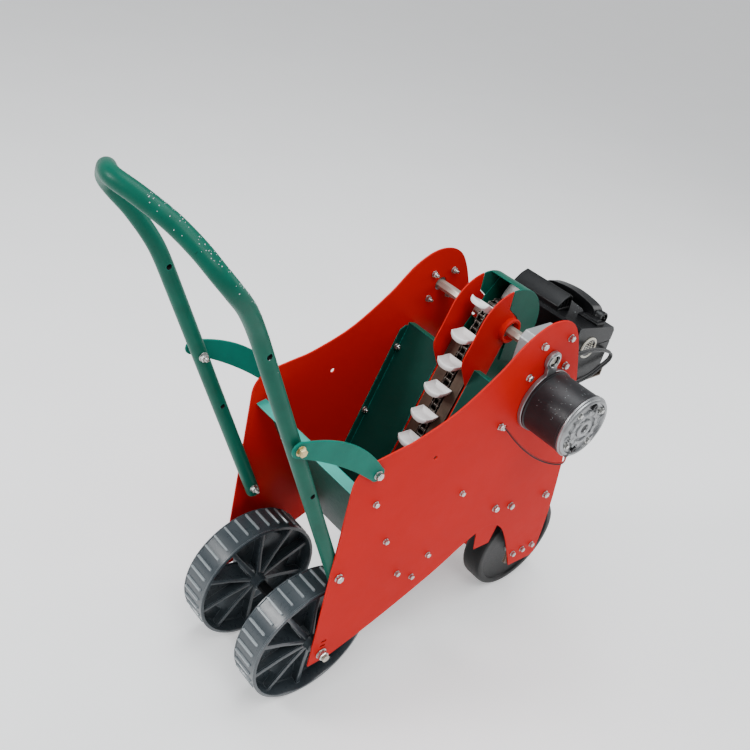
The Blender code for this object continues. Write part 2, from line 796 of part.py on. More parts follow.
def hopper_floor():
    """Trough between the sloping walls, with a scroll under the elevator's foot."""
    foot = lift(-RUN, 0.0)
    wrap = arc(foot, CASING_R + 0.001, 210, 292, 8)
    half = PLATE_IN - GAP
    bm = bmesh.new()
    sheet_strip(bm, [(0.1530, 0.2165), (0.1780, 0.2165), (0.1880, 0.2400)], -SHEET, -half, half)
    floor = finish("hopper_floor", bm, paint_dark_green())
    bm = bmesh.new()
    sheet_strip(bm, [(0.1700, 0.2165), (0.1780, 0.2165), (0.1880, 0.2400)] + wrap, -SHEET, -0.0368, 0.0368)
    return bake(boolean(floor, finish("scroll_tool", bm, paint_dark_green()), 'UNION'))


def seed_spout():
    """Open tray from the casing's outlet forward to the boot."""
    line = [(0.3130, 0.2430), (0.4600, 0.2080), (0.4790, 0.2020)]
    bm = bmesh.new()
    sheet_strip(bm, line, SHEET, -0.0380, 0.0380)
    spout = finish("seed_spout", bm, paint_green())
    for side in (-1, 1):
        wall = [(0.3130, 0.2435), (0.4600, 0.2085), (0.4790, 0.2025), (0.4790, 0.2380), (0.4160, 0.3140),
                (0.3720, 0.3140), (0.3130, 0.2560)]
        bm = bmesh.new()
        prism(bm, wall, *sorted((side * 0.0400, side * 0.0375)))
        boolean(spout, finish("wall_tool", bm, paint_green()), 'UNION')
    return bake(spout)


def seed_boot():
    """Red opener: open box with a raked nose, welded to a plate across the frame."""
    outer = [(0.4800, 0.2420), (0.4800, 0.1250), (0.5000, 0.0580), (0.5850, 0.0400), (0.6000, 0.0560),
             (0.5400, 0.1700), (0.5400, 0.2420)]
    inner = [(0.4830, 0.2520), (0.4830, 0.1255), (0.5030, 0.0590), (0.5030, 0.0300), (0.5700, 0.0300),
             (0.5700, 0.0580), (0.5370, 0.1690), (0.5370, 0.2520)]
    half = PLATE_IN - GAP
    bm = bmesh.new()
    prism(bm, outer, -0.0420, 0.0420)
    boot = finish("seed_boot", bm, paint_red())
    bm = bmesh.new()
    prism(bm, inner, -0.0400, 0.0400)
    boolean(boot, finish("inside_tool", bm, paint_red()), 'DIFFERENCE')
    bm = bmesh.new()
    box(bm, (0.4700, -0.0405, 0.1985), (0.4900, 0.0405, 0.2520))
    boolean(boot, finish("mouth_tool", bm, paint_red()), 'DIFFERENCE')
    plates = [((0.5390, -half, 0.2215), (0.5420, half, 0.3000)),
              ((0.5060, -half, 0.2650), (0.5410, -half + SHEET, 0.3000)),
              ((0.5060, half - SHEET, 0.2650), (0.5410, half, 0.3000))]
    for low, high in plates:
        bm = bmesh.new()
        box(bm, low, high)
        boolean(boot, finish("plate_tool", bm, paint_red()), 'UNION')
    return bake(boot)


# ---- drive --------------------------------------------------------------
def gearbox_housing():
    """Cast box inside the right plate, from the shaft down to the motor."""
    outline = [(0.3340, 0.6790), (0.3200, 0.6650), (0.3200, 0.5980), (0.3440, 0.5700), (0.3440, 0.5300), (0.3600, 0.5020),
               (0.4200, 0.5020), (0.4380, 0.5300), (0.4330, 0.5980), (0.4300, 0.6650), (0.4160, 0.6790)]
    y0 = -PLATE_IN + GAP
    bm = bmesh.new()
    prism(bm, outline, y0, y0 + 0.012)
    housing = finish("gearbox_housing", bm, cast_alloy())
    outline = [(0.3440, 0.6730), (0.3330, 0.6620), (0.3330, 0.5980), (0.3460, 0.5330), (0.3650, 0.5120),
               (0.4150, 0.5120), (0.4280, 0.5330), (0.4230, 0.5980), (0.4190, 0.6620), (0.4080, 0.6730)]
    bm = bmesh.new()
    prism(bm, outline, y0 + 0.010, -GEARBOX_IN)
    boolean(housing, finish("body_tool", bm, cast_alloy()), 'UNION')
    hole(housing, SHAFT, 0.0115, y0 - 0.01, -GEARBOX_IN + 0.01, 20)
    return bake(housing)


def gearbox_cover():
    """Teardrop flange outside the plate: shaft boss above, motor seat below."""
    axis = Vector(SHAFT) - Vector(MOTOR)
    base = math.degrees(math.atan2(axis.y, axis.x))
    boss = 0.0175
    seat = MOTOR_R + 0.001
    open_angle = math.degrees(math.acos((seat - boss) / axis.length))
    top = arc(SHAFT, boss, base - open_angle, base + open_angle, 8)
    bottom = arc(MOTOR, seat, base + open_angle, base + 360 - open_angle, 24)
    bm = bmesh.new()
    prism(bm, top + bottom, -COVER_OUT, -PLATE_OUT - GAP)
    cover = finish("gearbox_cover", bm, cast_alloy())
    hole(cover, SHAFT, 0.0105, -0.16, -0.13, 16)
    return bake(cover)


def motor_body():
    bm = bmesh.new()
    rod(bm, [(MOTOR_R - 0.002, -MOTOR_OUT), (MOTOR_R, -MOTOR_OUT + 0.002), (MOTOR_R, -MOTOR_IN)], MOTOR, 36)
    return finish("motor_body", bm, motor_paint())


def motor_end_cap():
    """Cast end bell with a stepped rim and a bearing boss."""
    y0 = -MOTOR_OUT - GAP
    bm = bmesh.new()
    rod(bm, [(MOTOR_R, y0), (MOTOR_R, -CAP_OUT + 0.004), (MOTOR_R - 0.004, -CAP_OUT), (0.0200, -CAP_OUT),
             (0.0190, -CAP_OUT - 0.0030)], MOTOR, 36)
    return finish("motor_end_cap", bm, cast_alloy())


def shaft_bearing():
    """Square four-bolt flange bearing on the outside of the left plate."""
    y0 = PLATE_OUT + GAP
    half = 0.038
    bm = bmesh.new()
    cx, cz = SHAFT
    outline = []
    for sx, sz in ((1, 1), (-1, 1), (-1, -1), (1, -1)):
        for a in (0, 1, 2):
            turn = math.atan2(sz, sx) - math.radians(45) + math.radians(45) * a
            outline.append((cx + sx * (half - 0.010) + 0.010 * math.cos(turn),
                            cz + sz * (half - 0.010) + 0.010 * math.sin(turn)))
    prism(bm, outline, y0, y0 + 0.007)
    flange = finish("shaft_bearing_left", bm, cast_alloy())
    bm = bmesh.new()
    rod(bm, [(0.0240, y0 + 0.005), (0.0225, y0 + 0.0140)], SHAFT, 24)
    boolean(flange, finish("boss_tool", bm, cast_alloy()), 'UNION')
    hole(flange, SHAFT, 0.0105, y0 - 0.01, y0 + 0.03, 16)
    return bake(flange)


# ---- battery and leads --------------------------------------------------
def battery_box():
    """Moulded case whose top falls to the front, with a raised rear block."""
    x0, x1 = BOX_X
    z0, z1 = BOX_Z
    outline = [(x0, z0 + 0.004), (x0 + 0.004, z0), (x1 - 0.010, z0), (x1 - 0.003, z0 + 0.008),
               (x1, z1 - 0.028), (x1 - 0.006, z1 - 0.019), (x0 + 0.004, z1), (x0, z1 - 0.004)]
    bm = bmesh.new()
    prism(bm, outline, *BOX_Y)
    case = finish("battery_box", bm, black_plastic())
    ridge = [(x0 + 0.012, z1 - 0.010), (x0 + 0.012, z1 + 0.006), (x0 + 0.042, z1 + 0.026),
             (x0 + 0.050, z1 + 0.020), (x0 + 0.050, z1 - 0.020)]
    bm = bmesh.new()
    prism(bm, ridge, -0.0120, 0.0980)
    boolean(case, finish("ridge_tool", bm, black_plastic()), 'UNION')
    return bake(case)


def battery_handle():
    """Arched carrying bar standing on the front of the case."""
    x = 0.6170
    slope = 0.181
    arch = smooth([(-0.052, 0.6094), (-0.050, 0.6220), (-0.038, 0.6360), (0.010, 0.6430), (0.058, 0.6360),
                   (0.070, 0.6220), (0.072, 0.6094)], 3)
    inside = smooth([(-0.036, 0.6094), (-0.034, 0.6170), (-0.026, 0.6240), (0.010, 0.6280), (0.046, 0.6240),
                     (0.054, 0.6170), (0.056, 0.6094)], 3)
    bm = bmesh.new()
    ring = arch + inside[::-1]
    near = [bm.verts.new((x - 0.013, y, z + 0.013 * slope)) for y, z in ring]
    far = [bm.verts.new((x + 0.013, y, z - 0.013 * slope)) for y, z in ring]
    bm.faces.new(near)
    bm.faces.new(far[::-1])
    for i in range(len(ring)):
        j = (i + 1) % len(ring)
        bm.faces.new((near[j], near[i], far[i], far[j]))
    return finish("battery_handle", bm, black_plastic())


def battery_tray():
    """Sheet shelf between the plates and out under the battery."""
    top = BOX_Z[0] - GAP
    under = top - 0.003
    half = PLATE_IN - GAP
    back = 0.4410
    step = 0.4850
    bm = bmesh.new()
    box(bm, (back, -half, under), (step, half, top))
    tray = finish("battery_tray", bm, bare_steel())
    parts = [((step - 0.001, BOX_Y[0] - 0.004, under), (BOX_X[1] + 0.004, BOX_Y[1] + 0.004, top)),
             ((back, -half, top - 0.001), (step, -half + 0.003, top + 0.020)),
             ((back, half - 0.003, top - 0.001), (step, half, top + 0.020)),
             ((BOX_X[1] + 0.001, BOX_Y[0] - 0.004, top - 0.001), (BOX_X[1] + 0.004, BOX_Y[1] + 0.004, top + 0.014))]
    for low, high in parts:
        bm = bmesh.new()
        box(bm, low, high)
        boolean(tray, finish("sheet_tool", bm, bare_steel()), 'UNION')
    return bake(tray)


def lead(name, route, radius):
    """Flexible lead along a smooth curve through the route's points."""
    line = bpy.data.curves.new(name, 'CURVE')
    line.dimensions = '3D'
    points = smooth(route, 2)
    path = line.splines.new('POLY')
    path.points.add(len(points) - 1)
    for point, place in zip(path.points, points):
        point.co = (*place, 1.0)
    line.bevel_depth = radius
    line.bevel_resolution = 2
    line.use_fill_caps = True
    line.materials.append(cable_rubber())
    cable = bpy.data.objects.new(name, line)
    bpy.context.collection.objects.link(cable)
    return cable


MOTOR_LEAD = [(0.3640, -0.2330, 0.4960), (0.3600, -0.2345, 0.4880), (0.3520, -0.2300, 0.4800),
              (0.3420, -0.2150, 0.4740), (0.3330, -0.1950, 0.4740), (0.3250, -0.1730, 0.4800),
              (0.3180, -0.1540, 0.4920), (0.3130, -0.1420, 0.5050), (0.3120, -0.1340, 0.5110),
              (0.3140, -0.1260, 0.5090), (0.3200, -0.1230, 0.4980)]
BATTERY_LEAD = [(0.5000, -0.0960, 0.5800), (0.5400, -0.0960, 0.5800), (0.5800, -0.0930, 0.5740),
                (0.6200, -0.0900, 0.5620), (0.6500, -0.0880, 0.5480), (0.6560, -0.0880, 0.5380),
                (0.6480, -0.0890, 0.5300), (0.6200, -0.0920, 0.5220), (0.5900, -0.0950, 0.5150),
                (0.5500, -0.0970, 0.5120), (0.5150, -0.0980, 0.5150)]
LEAD_R = 0.0018


# ---- assembly -----------------------------------------------------------
def place_on_origin():
    """Shift everything that has no parent."""
    for thing in bpy.data.objects:
        if thing.parent is None:
            thing.location.x -= CENTRE_X
            thing.location.y -= CENTRE_Y


def build_frame():
    right_plate()
    side_plate("side_plate_left", 1)
    rear_axle()
    axle_nut("axle_nut_right", -1)
    axle_nut("axle_nut_left", 1)
    axle_sleeve()
    mirrored("rear_wheel_left", rear_wheel(), grey_plastic())
    mirrored("front_wheel_left", front_wheel(), black_plastic())
    mirrored("front_bracket_left", front_bracket(), bare_steel())
    mirrored("front_bolt_left", front_bolt(), zinc())


def build_handle():
    handle_tube()
    mirrored("link_arm_left", link_arm(), paint_green())
    mirrored("link_bolt_left", link_bolt(), zinc())


def build_elevator():
    hex_shaft()
    flats = HEX_FLATS / 2 / math.cos(math.pi / 6)
    sprocket("head_sprocket", flats + 0.0005, 6, SHAFT)
    sprocket("foot_sprocket", FOOT_SHAFT_R + 0.0004, 16, lift(-RUN, 0.0))
    foot_shaft()
    elevator_chain()
    for index in range(SPOON_COUNT):
        spoon(index)
    mirrored("elevator_cheek_left", elevator_cheek(), paint_red())
    elevator_guide()
    chute_cover()


def build_hopper():
    hopper_rear_panel()
    mirrored("hopper_front_panel_left", hopper_front_panel(), paint_dark_green())
    hopper_floor()
    seed_spout()
    seed_boot()


def build_drive():
    gearbox_housing()
    gearbox_cover()
    motor_body()
    motor_end_cap()
    shaft_bearing()


def build_battery():
    battery_box()
    battery_handle()
    battery_tray()
    lead("motor_lead", MOTOR_LEAD, LEAD_R)
    lead("battery_lead", BATTERY_LEAD, LEAD_R)


def main():
    for thing in list(bpy.data.objects):
        bpy.data.objects.remove(thing)
    build_frame()
    build_handle()
    build_elevator()
    build_hopper()
    build_drive()
    build_battery()
    place_on_origin()


main()
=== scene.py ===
import json
import math
import random

import bmesh
import bpy
from mathutils import Matrix, Vector


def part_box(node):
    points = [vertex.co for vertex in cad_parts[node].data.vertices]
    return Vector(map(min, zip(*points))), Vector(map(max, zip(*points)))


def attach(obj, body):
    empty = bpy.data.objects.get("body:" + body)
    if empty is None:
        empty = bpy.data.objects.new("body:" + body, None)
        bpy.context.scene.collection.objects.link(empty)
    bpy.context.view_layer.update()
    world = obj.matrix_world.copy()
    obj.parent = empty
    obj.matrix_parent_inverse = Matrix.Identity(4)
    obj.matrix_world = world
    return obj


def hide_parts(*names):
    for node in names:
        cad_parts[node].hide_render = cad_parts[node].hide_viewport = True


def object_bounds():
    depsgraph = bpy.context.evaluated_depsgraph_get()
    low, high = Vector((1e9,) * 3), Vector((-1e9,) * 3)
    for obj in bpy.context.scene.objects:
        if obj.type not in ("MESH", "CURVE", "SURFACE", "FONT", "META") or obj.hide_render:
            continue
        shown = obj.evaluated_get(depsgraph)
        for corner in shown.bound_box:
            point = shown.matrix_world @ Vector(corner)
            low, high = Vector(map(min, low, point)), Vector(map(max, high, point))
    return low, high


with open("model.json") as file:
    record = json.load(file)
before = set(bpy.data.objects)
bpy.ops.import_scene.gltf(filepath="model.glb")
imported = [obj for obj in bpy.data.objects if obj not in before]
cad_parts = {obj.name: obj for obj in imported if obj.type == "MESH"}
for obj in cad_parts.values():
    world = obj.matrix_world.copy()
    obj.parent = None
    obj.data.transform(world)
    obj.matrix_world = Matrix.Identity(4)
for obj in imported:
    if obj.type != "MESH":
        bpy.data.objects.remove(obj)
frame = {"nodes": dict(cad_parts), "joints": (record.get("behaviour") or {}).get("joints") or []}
cad_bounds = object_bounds()

JOINTS = {j["name"]: j for j in frame["joints"]}
AXLE = Vector(JOINTS["rear_wheel_right_spin"]["pos_m"])
HEAD = Vector(JOINTS["drive_shaft_spin"]["pos_m"])
FOOT = Vector(JOINTS["foot_sprocket_spin"]["pos_m"])
FRONT = Vector(JOINTS["front_wheel_right_spin"]["pos_m"])
MID_Y = HEAD.y                     # the middle plane between the side plates

# Below, x is measured from the rear axle and y from the middle plane.
SHIFT = Vector((AXLE.x, MID_Y, 0.0))
GAP = 0.0003
PLATE_OUT = MID_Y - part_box("side_plate_right")[0][1]
PLATE_IN = MID_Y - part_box("side_plate_right")[1][1]
SHAFT = (HEAD.x - AXLE.x, HEAD.z)
FOOT_AT = (FOOT.x - AXLE.x, FOOT.z)
RUN = math.dist(SHAFT, FOOT_AT)
LEAN = math.atan2(SHAFT[0] - FOOT_AT[0], SHAFT[1] - FOOT_AT[1])
REAR_R = AXLE.z
FRONT_R = FRONT.z
FRONT_X = FRONT.x - AXLE.x
MOTOR = (0.390, 0.550)
MOTOR_R = 0.059
SPROCKET_R = 0.033
CHAIN_HALF = 0.006
CHAIN_LOOP = 2 * RUN + 2 * math.pi * SPROCKET_R
LINKS = 66
SPOONS = 16
SPOON_FIRST = 0.0187               # the first spoon's distance along the chain
HEX_FLATS = 0.0165
HEX_CORNER = HEX_FLATS / 2 / math.cos(math.pi / 6)
COLLAR_BORE = 0.0163               # in the cheeks, round the shaft's collars
SIDES = ((-1, "right"), (1, "left"))
MERGE = 1e-6
THROUGH = (-0.1, 0.1)              # from one side of the elevator to the other
HARDWARE = {"bevel": 0.0002, "angle": 25, "segments": 1}


# ---------------------------------------------------------------- materials
def link(tree, a, b):
    tree.links.new(a, b)


def node(tree, kind, **values):
    made = tree.nodes.new(kind)
    for key, value in values.items():
        if key in made.inputs:
            made.inputs[key].default_value = value
        else:
            setattr(made, key, value)
    return made


def ramp(tree, source, *limits):
    """Map the source from its first two limits to the last two."""
    step = node(tree, "ShaderNodeMapRange")
    for name, limit in zip(("From Min", "From Max", "To Min", "To Max"), limits):
        step.inputs[name].default_value = limit
    link(tree, source, step.inputs["Value"])
    return step.outputs["Result"]


def noise(tree, at, scale, detail, roughness=0.5):
    made = node(tree, "ShaderNodeTexNoise", Scale=scale, Detail=detail, Roughness=roughness)
    link(tree, at, made.inputs["Vector"])
    return made.outputs["Fac"]


def combine(tree, kind, operation, result, first, second):
    """One math node of the given kind fed by two sources; the named output comes back."""
    made = node(tree, kind, operation=operation)
    link(tree, first, made.inputs[0])
    link(tree, second, made.inputs[1])
    return made.outputs[result]


def blend_colour(tree, mask, first, second):
    mix = tree.nodes.new("ShaderNodeMix")
    mix.data_type = 'RGBA'
    link(tree, mask, mix.inputs["Factor"])
    for socket, value in ((mix.inputs[6], first), (mix.inputs[7], second)):
        if isinstance(value, tuple):
            socket.default_value = (*value, 1.0)
        else:
            link(tree, value, socket)
    return mix.outputs[2]


def shade(colour, factor):
    return tuple(min(1.0, c * factor) for c in colour)


def surface(name, colour, rough, metallic=0.0, grain=900.0, bump=0.04, tint=0.15, blotch=9.0,
            edge_wear_and_highlight=None, edge_wear_and_highlight_size=0.0012, spread=0.10, coat=0.0, stretch=None, specks=0.0, soil=0.12,
            shine=0.5):
    """Procedural finish: broad tint, soil, specks, lighter edges that are partly rubbed and partly a painted
    highlight, and fine grain in gloss and bump.
    """
    made = bpy.data.materials.new(name)
    made.use_nodes = True
    tree = made.node_tree
    shader = tree.nodes["Principled BSDF"]
    shader.inputs["Metallic"].default_value = metallic
    shader.inputs["Specular IOR Level"].default_value = shine
    shader.inputs["Coat Weight"].default_value = coat
    shader.inputs["Coat Roughness"].default_value = 0.12
    at = node(tree, "ShaderNodeTexCoord").outputs["Object"]
    fine_at = at
    if stretch:
        mapping = node(tree, "ShaderNodeMapping", Scale=stretch)
        link(tree, at, mapping.inputs["Vector"])
        fine_at = mapping.outputs["Vector"]
    broad = noise(tree, at, blotch, 5.0, 0.6)
    fine = noise(tree, fine_at, grain, 3.0, 0.6)
    middle = noise(tree, at, blotch * 9.0, 4.0, 0.65)
    mask = ramp(tree, broad, 0.3, 0.7, 0.0, 1.0)
    paint = blend_colour(tree, mask, shade(colour, 1.0 - tint), shade(colour, 1.0 + tint))
    smudge = ramp(tree, middle, 0.52, 0.78, 0.0, soil)
    paint = blend_colour(tree, smudge, paint, tuple(0.75 * c + 0.04 for c in colour))
    if specks:
        spot = ramp(tree, noise(tree, at, 260.0, 2.0), 0.7, 0.76, 0.0, specks)
        paint = blend_colour(tree, spot, paint, shade(colour, 0.35))
    # Lighter band along sharp edges: partly rubbed paint and metal, partly a painted highlight where edges
    # catch the light.
    if edge_wear_and_highlight:
        corner = node(tree, "ShaderNodeBevel", Radius=edge_wear_and_highlight_size, samples=4).outputs["Normal"]
        flat = node(tree, "ShaderNodeNewGeometry").outputs["Normal"]
        facing = combine(tree, "ShaderNodeVectorMath", 'DOT_PRODUCT', "Value", corner, flat)
        edge = ramp(tree, facing, 0.985, 0.86, 0.0, 1.0)
        gaps = ramp(tree, middle, 0.38, 0.62, 0.25, 1.0)
        broken = combine(tree, "ShaderNodeMath", 'MULTIPLY', 0, edge, gaps)
        paint = blend_colour(tree, broken, paint, edge_wear_and_highlight)
    link(tree, paint, shader.inputs["Base Color"])
    gloss = ramp(tree, fine, 0.3, 0.7, rough - spread / 2, rough + spread / 2)
    patchy = combine(tree, "ShaderNodeMath", 'ADD', 0, gloss, ramp(tree, middle, 0.35, 0.75, -0.02, 0.05))
    link(tree, patchy, shader.inputs["Roughness"])
    relief = node(tree, "ShaderNodeBump", Strength=bump, Distance=0.0004)
    link(tree, fine, relief.inputs["Height"])
    link(tree, relief.outputs["Normal"], shader.inputs["Normal"])
    return made


# The red's lighter edge colour is a painted highlight: the bright line along the plates' edges.
RED = surface("red_powder_coat", (0.56, 0.0065, 0.0045), 0.52, grain=1400.0, bump=0.1,
        tint=0.05, blotch=5.0, edge_wear_and_highlight=(0.7, 0.12, 0.09), edge_wear_and_highlight_size=0.0009, soil=0.02, shine=0.07)
# The green's bright aqua edge colour is a painted highlight along its sheet edges.
GREEN = surface("green_enamel", (0.0006, 0.088, 0.057), 0.4, grain=700.0, bump=0.1,
        tint=0.14, blotch=22.0, edge_wear_and_highlight=(0.02, 0.34, 0.27), edge_wear_and_highlight_size=0.0011, coat=0.02, specks=0.45,
        soil=0.05, shine=0.12)
# Lighter copy of the green enamel for the link arms: painted light for their brighter lit look.
ARM_GREEN_PAINTED_LIGHT = surface("arm_enamel_painted_light", (0.0004, 0.15, 0.108), 0.42, grain=700.0, bump=0.1,
        tint=0.12, blotch=22.0, edge_wear_and_highlight=(0.03, 0.42, 0.34), edge_wear_and_highlight_size=0.0011, specks=0.3, soil=0.04, shine=0.1)
# Darker copy of the green enamel for the hopper panels, which stand in shade: painted shade.
GREEN_PAINTED_SHADE = surface("green_enamel_painted_shade", (0.0015, 0.046, 0.033), 0.46, grain=700.0,
        bump=0.1, tint=0.12, blotch=12.0, edge_wear_and_highlight=(0.012, 0.36, 0.29), edge_wear_and_highlight_size=0.0022, shine=0.2)
# Lighter copy of the green enamel for the hopper's top flange: painted highlight where it faces up to the
# light.
GREEN_PAINTED_HIGHLIGHT = surface("green_enamel_painted_highlight", (0.01, 0.33, 0.265), 0.38, grain=700.0, bump=0.1, tint=0.1,
        blotch=20.0, edge_wear_and_highlight=(0.1, 0.6, 0.52), edge_wear_and_highlight_size=0.0012)
ZINC = surface("zinc_plated", (0.52, 0.52, 0.5), 0.28, metallic=1.0, grain=500.0, bump=0.1,
        tint=0.1, blotch=90.0, spread=0.16)
YELLOW_ZINC = surface("yellow_zinc", (0.56, 0.44, 0.22), 0.3, metallic=1.0, grain=500.0,
        bump=0.1, tint=0.14, blotch=90.0, spread=0.16)
SHAFT_STEEL = surface("drawn_steel", (0.5, 0.47, 0.4), 0.34, metallic=0.55, grain=420.0,
        bump=0.14, tint=0.1, blotch=40.0, spread=0.14, stretch=(1.0, 0.03, 1.0), specks=0.35)
BARE = surface("bare_steel", (0.115, 0.082, 0.06), 0.44, metallic=0.75, grain=380.0,
        bump=0.25, tint=0.3, blotch=38.0, edge_wear_and_highlight=(0.4, 0.35, 0.29), spread=0.2, specks=0.4)
CHAIN_STEEL = surface("oiled_chain", (0.055, 0.048, 0.042), 0.36, metallic=0.9, grain=300.0,
        bump=0.15, tint=0.3, blotch=60.0, edge_wear_and_highlight=(0.3, 0.27, 0.24), spread=0.22)
ALLOY = surface("cast_alloy", (0.42, 0.43, 0.44), 0.42, metallic=0.6, bump=0.3, tint=0.08,
        blotch=26.0, edge_wear_and_highlight=(0.8, 0.8, 0.8), spread=0.16)
CAP_ALLOY = surface("cap_alloy", (0.31, 0.315, 0.32), 0.36, metallic=0.85, bump=0.4,
        tint=0.16, blotch=45.0, edge_wear_and_highlight=(0.62, 0.62, 0.62), edge_wear_and_highlight_size=0.0009, spread=0.18, specks=0.3)
MACHINED = surface("machined_alloy", (0.48, 0.48, 0.47), 0.26, metallic=0.95, grain=500.0,
        bump=0.08, tint=0.06, blotch=30.0, spread=0.12)
MOTOR_BLACK = surface("motor_enamel", (0.0085, 0.0085, 0.01), 0.4, grain=2200.0, bump=0.06,
        tint=0.1, blotch=14.0, edge_wear_and_highlight=(0.05, 0.05, 0.055), spread=0.06, soil=0.04, shine=0.4)
CASE_BLACK = surface("case_plastic", (0.004, 0.0042, 0.0048), 0.32, grain=1500.0,
        bump=0.25, tint=0.2, blotch=16.0, edge_wear_and_highlight=(0.05, 0.052, 0.056), coat=0.04, soil=0.02, shine=0.22)
# The wheel plastic's lighter edge colour is a painted highlight along the moulding's edges.
WHEEL_GREY = surface("wheel_plastic", (0.036, 0.047, 0.055), 0.29, bump=0.03, tint=0.05,
        blotch=9.0, edge_wear_and_highlight=(0.26, 0.3, 0.32), edge_wear_and_highlight_size=0.0009, coat=0.1, spread=0.05, soil=0.04)
# Lighter copy of the wheel plastic for the tread ribs: painted highlight, so the raised ribs show as bright
# bars.
RIB_PAINTED_HIGHLIGHT = surface("wheel_rib_painted_highlight", (0.24, 0.27, 0.285), 0.24, bump=0.03, tint=0.06,
        blotch=9.0, edge_wear_and_highlight=(0.42, 0.46, 0.48), edge_wear_and_highlight_size=0.0009, coat=0.12, spread=0.05, soil=0.04)
TYRE_BLACK = surface("wheel_rubber", (0.003, 0.003, 0.0033), 0.42, grain=1100.0, bump=0.25,
        tint=0.25, blotch=22.0, edge_wear_and_highlight=(0.016, 0.016, 0.017), soil=0.03, shine=0.22)
SPOON_WHITE = surface("spoon_plastic", (0.8, 0.8, 0.79), 0.36, bump=0.06, tint=0.02,
        blotch=30.0, coat=0.05)
CREAM = surface("gauge_ring", (0.7, 0.67, 0.56), 0.35, bump=0.05, tint=0.03, blotch=60.0)
DIAL = surface("gauge_face", (0.02, 0.02, 0.022), 0.25, bump=0.05, tint=0.3, blotch=60.0)
SHEATH = surface("lead_sheath", (0.008, 0.008, 0.009), 0.42, grain=700.0, bump=0.2, tint=0.2,
        blotch=40.0)
RED_WIRE = surface("red_wire", (0.36, 0.012, 0.01), 0.4, grain=700.0, bump=0.15, tint=0.1,
        blotch=40.0)
# Near black: the boss seal's rubber, and painted shade on the walls of the handle's bolt holes.
SEAL_BLACK_AND_PAINTED_SHADE = surface("seal_black_and_painted_shade", (0.003, 0.003, 0.003), 0.7, grain=500.0, bump=0.05, tint=0.1)
WATER = surface("dew", (0.42, 0.47, 0.47), 0.06, bump=0.02, tint=0.02, coat=0.6, spread=0.04)


# ---------------------------------------------------------------- mesh tools
def to_object(name, bm, looks):
    """Turn a bmesh, built about the rear axle and the middle plane, into an object in place."""
    bmesh.ops.remove_doubles(bm, verts=bm.verts, dist=MERGE)
    bmesh.ops.recalc_face_normals(bm, faces=bm.faces)
    bmesh.ops.translate(bm, verts=bm.verts, vec=SHIFT)
    mesh = bpy.data.meshes.new(name)
    bm.to_mesh(mesh)
    bm.free()
    mesh.shade_smooth()
    for look in looks:
        mesh.materials.append(look)
    thing = bpy.data.objects.new(name, mesh)
    bpy.context.collection.objects.link(thing)
    return thing


def place(name, bm, look, body="frame", stands_for=(), bevel=0.0, angle=35, segments=2, tools=(),
          looks=()):
    """Finish a bmesh as a piece that rides on a body and, where asked, stands for CAD nodes."""
    thing = to_object(name, bm, (look, *looks))
    for tool in tools:
        cut = thing.modifiers.new("cut", 'BOOLEAN')
        cut.operation = 'DIFFERENCE'
        cut.solver = 'EXACT'
        cut.object = tool
    if bevel:
        soft = thing.modifiers.new("edges", 'BEVEL')
        soft.width = bevel
        soft.segments = segments
        soft.limit_method = 'ANGLE'
        soft.angle_limit = math.radians(angle)
        soft.harden_normals = True
        soft.use_clamp_overlap = True
    if tools or bevel:
        bake(thing)
        for tool in tools:
            bpy.data.objects.remove(tool)
    if not bevel:
        thing.data.shade_smooth()
        thing.data.set_sharp_from_angle(angle=math.radians(angle))
    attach(thing, body)
    if stands_for:
        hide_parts(*stands_for)


def bake(thing):
    """Apply every modifier."""
    graph = bpy.context.evaluated_depsgraph_get()
    mesh = bpy.data.meshes.new_from_object(thing.evaluated_get(graph))
    thing.modifiers.clear()
    thing.data = mesh


def cutter(outline, y0, y1, looks=(), inside=0):
    """A prism that only cuts; `inside` is the look, by number, that its walls leave behind."""
    bm = bmesh.new()
    for face in prism(bm, outline, y0, y1):
        face.material_index = inside
    return to_object("tool", bm, looks)


def prism(bm, outline, y0, y1):
    near = [bm.verts.new((x, y0, z)) for x, z in outline]
    far = [bm.verts.new((x, y1, z)) for x, z in outline]
    faces = [bm.faces.new(near), bm.faces.new(far[::-1])]
    for i in range(len(outline)):
        j = (i + 1) % len(outline)
        faces.append(bm.faces.new((near[j], near[i], far[i], far[j])))
    return faces


def slab(outline, y0, y1):
    bm = bmesh.new()
    prism(bm, outline, y0, y1)
    return bm


def span(side, a, b):
    """Two distances from the middle plane on one side, lowest y first."""
    return sorted((side * a, side * b))


def block(bm, low, high):
    prism(bm, [(low[0], low[2]), (high[0], low[2]), (high[0], high[2]), (low[0], high[2])], low[1], high[1])


def circle(centre, radius, sides, turn=0.0):
    step = 2 * math.pi / sides
    return [(centre[0] + radius * math.cos(turn + i * step), centre[1] + radius * math.sin(turn + i * step))
            for i in range(sides)]


def arc(centre, radius, start, end, steps):
    points = []
    for i in range(steps + 1):
        a = math.radians(start + (end - start) * i / steps)
        points.append((centre[0] + radius * math.cos(a), centre[1] + radius * math.sin(a)))
    return points


def smooth(points, steps):
    """Catmull-Rom curve through the points."""
    padded = [points[0]] + list(points) + [points[-1]]
    curve = []
    for k in range(1, len(padded) - 2):
        p0, p1, p2, p3 = (Vector(p) for p in padded[k - 1:k + 3])
        for i in range(steps):
            t = i / steps
            curve.append(tuple(0.5 * (2 * p1 + (p2 - p0) * t + (2 * p0 - 5 * p1 + 4 * p2 - p3) * t ** 2
                                      + (3 * p1 - p0 - 3 * p2 + p3) * t ** 3)))
    curve.append(tuple(points[-1]))
    return curve


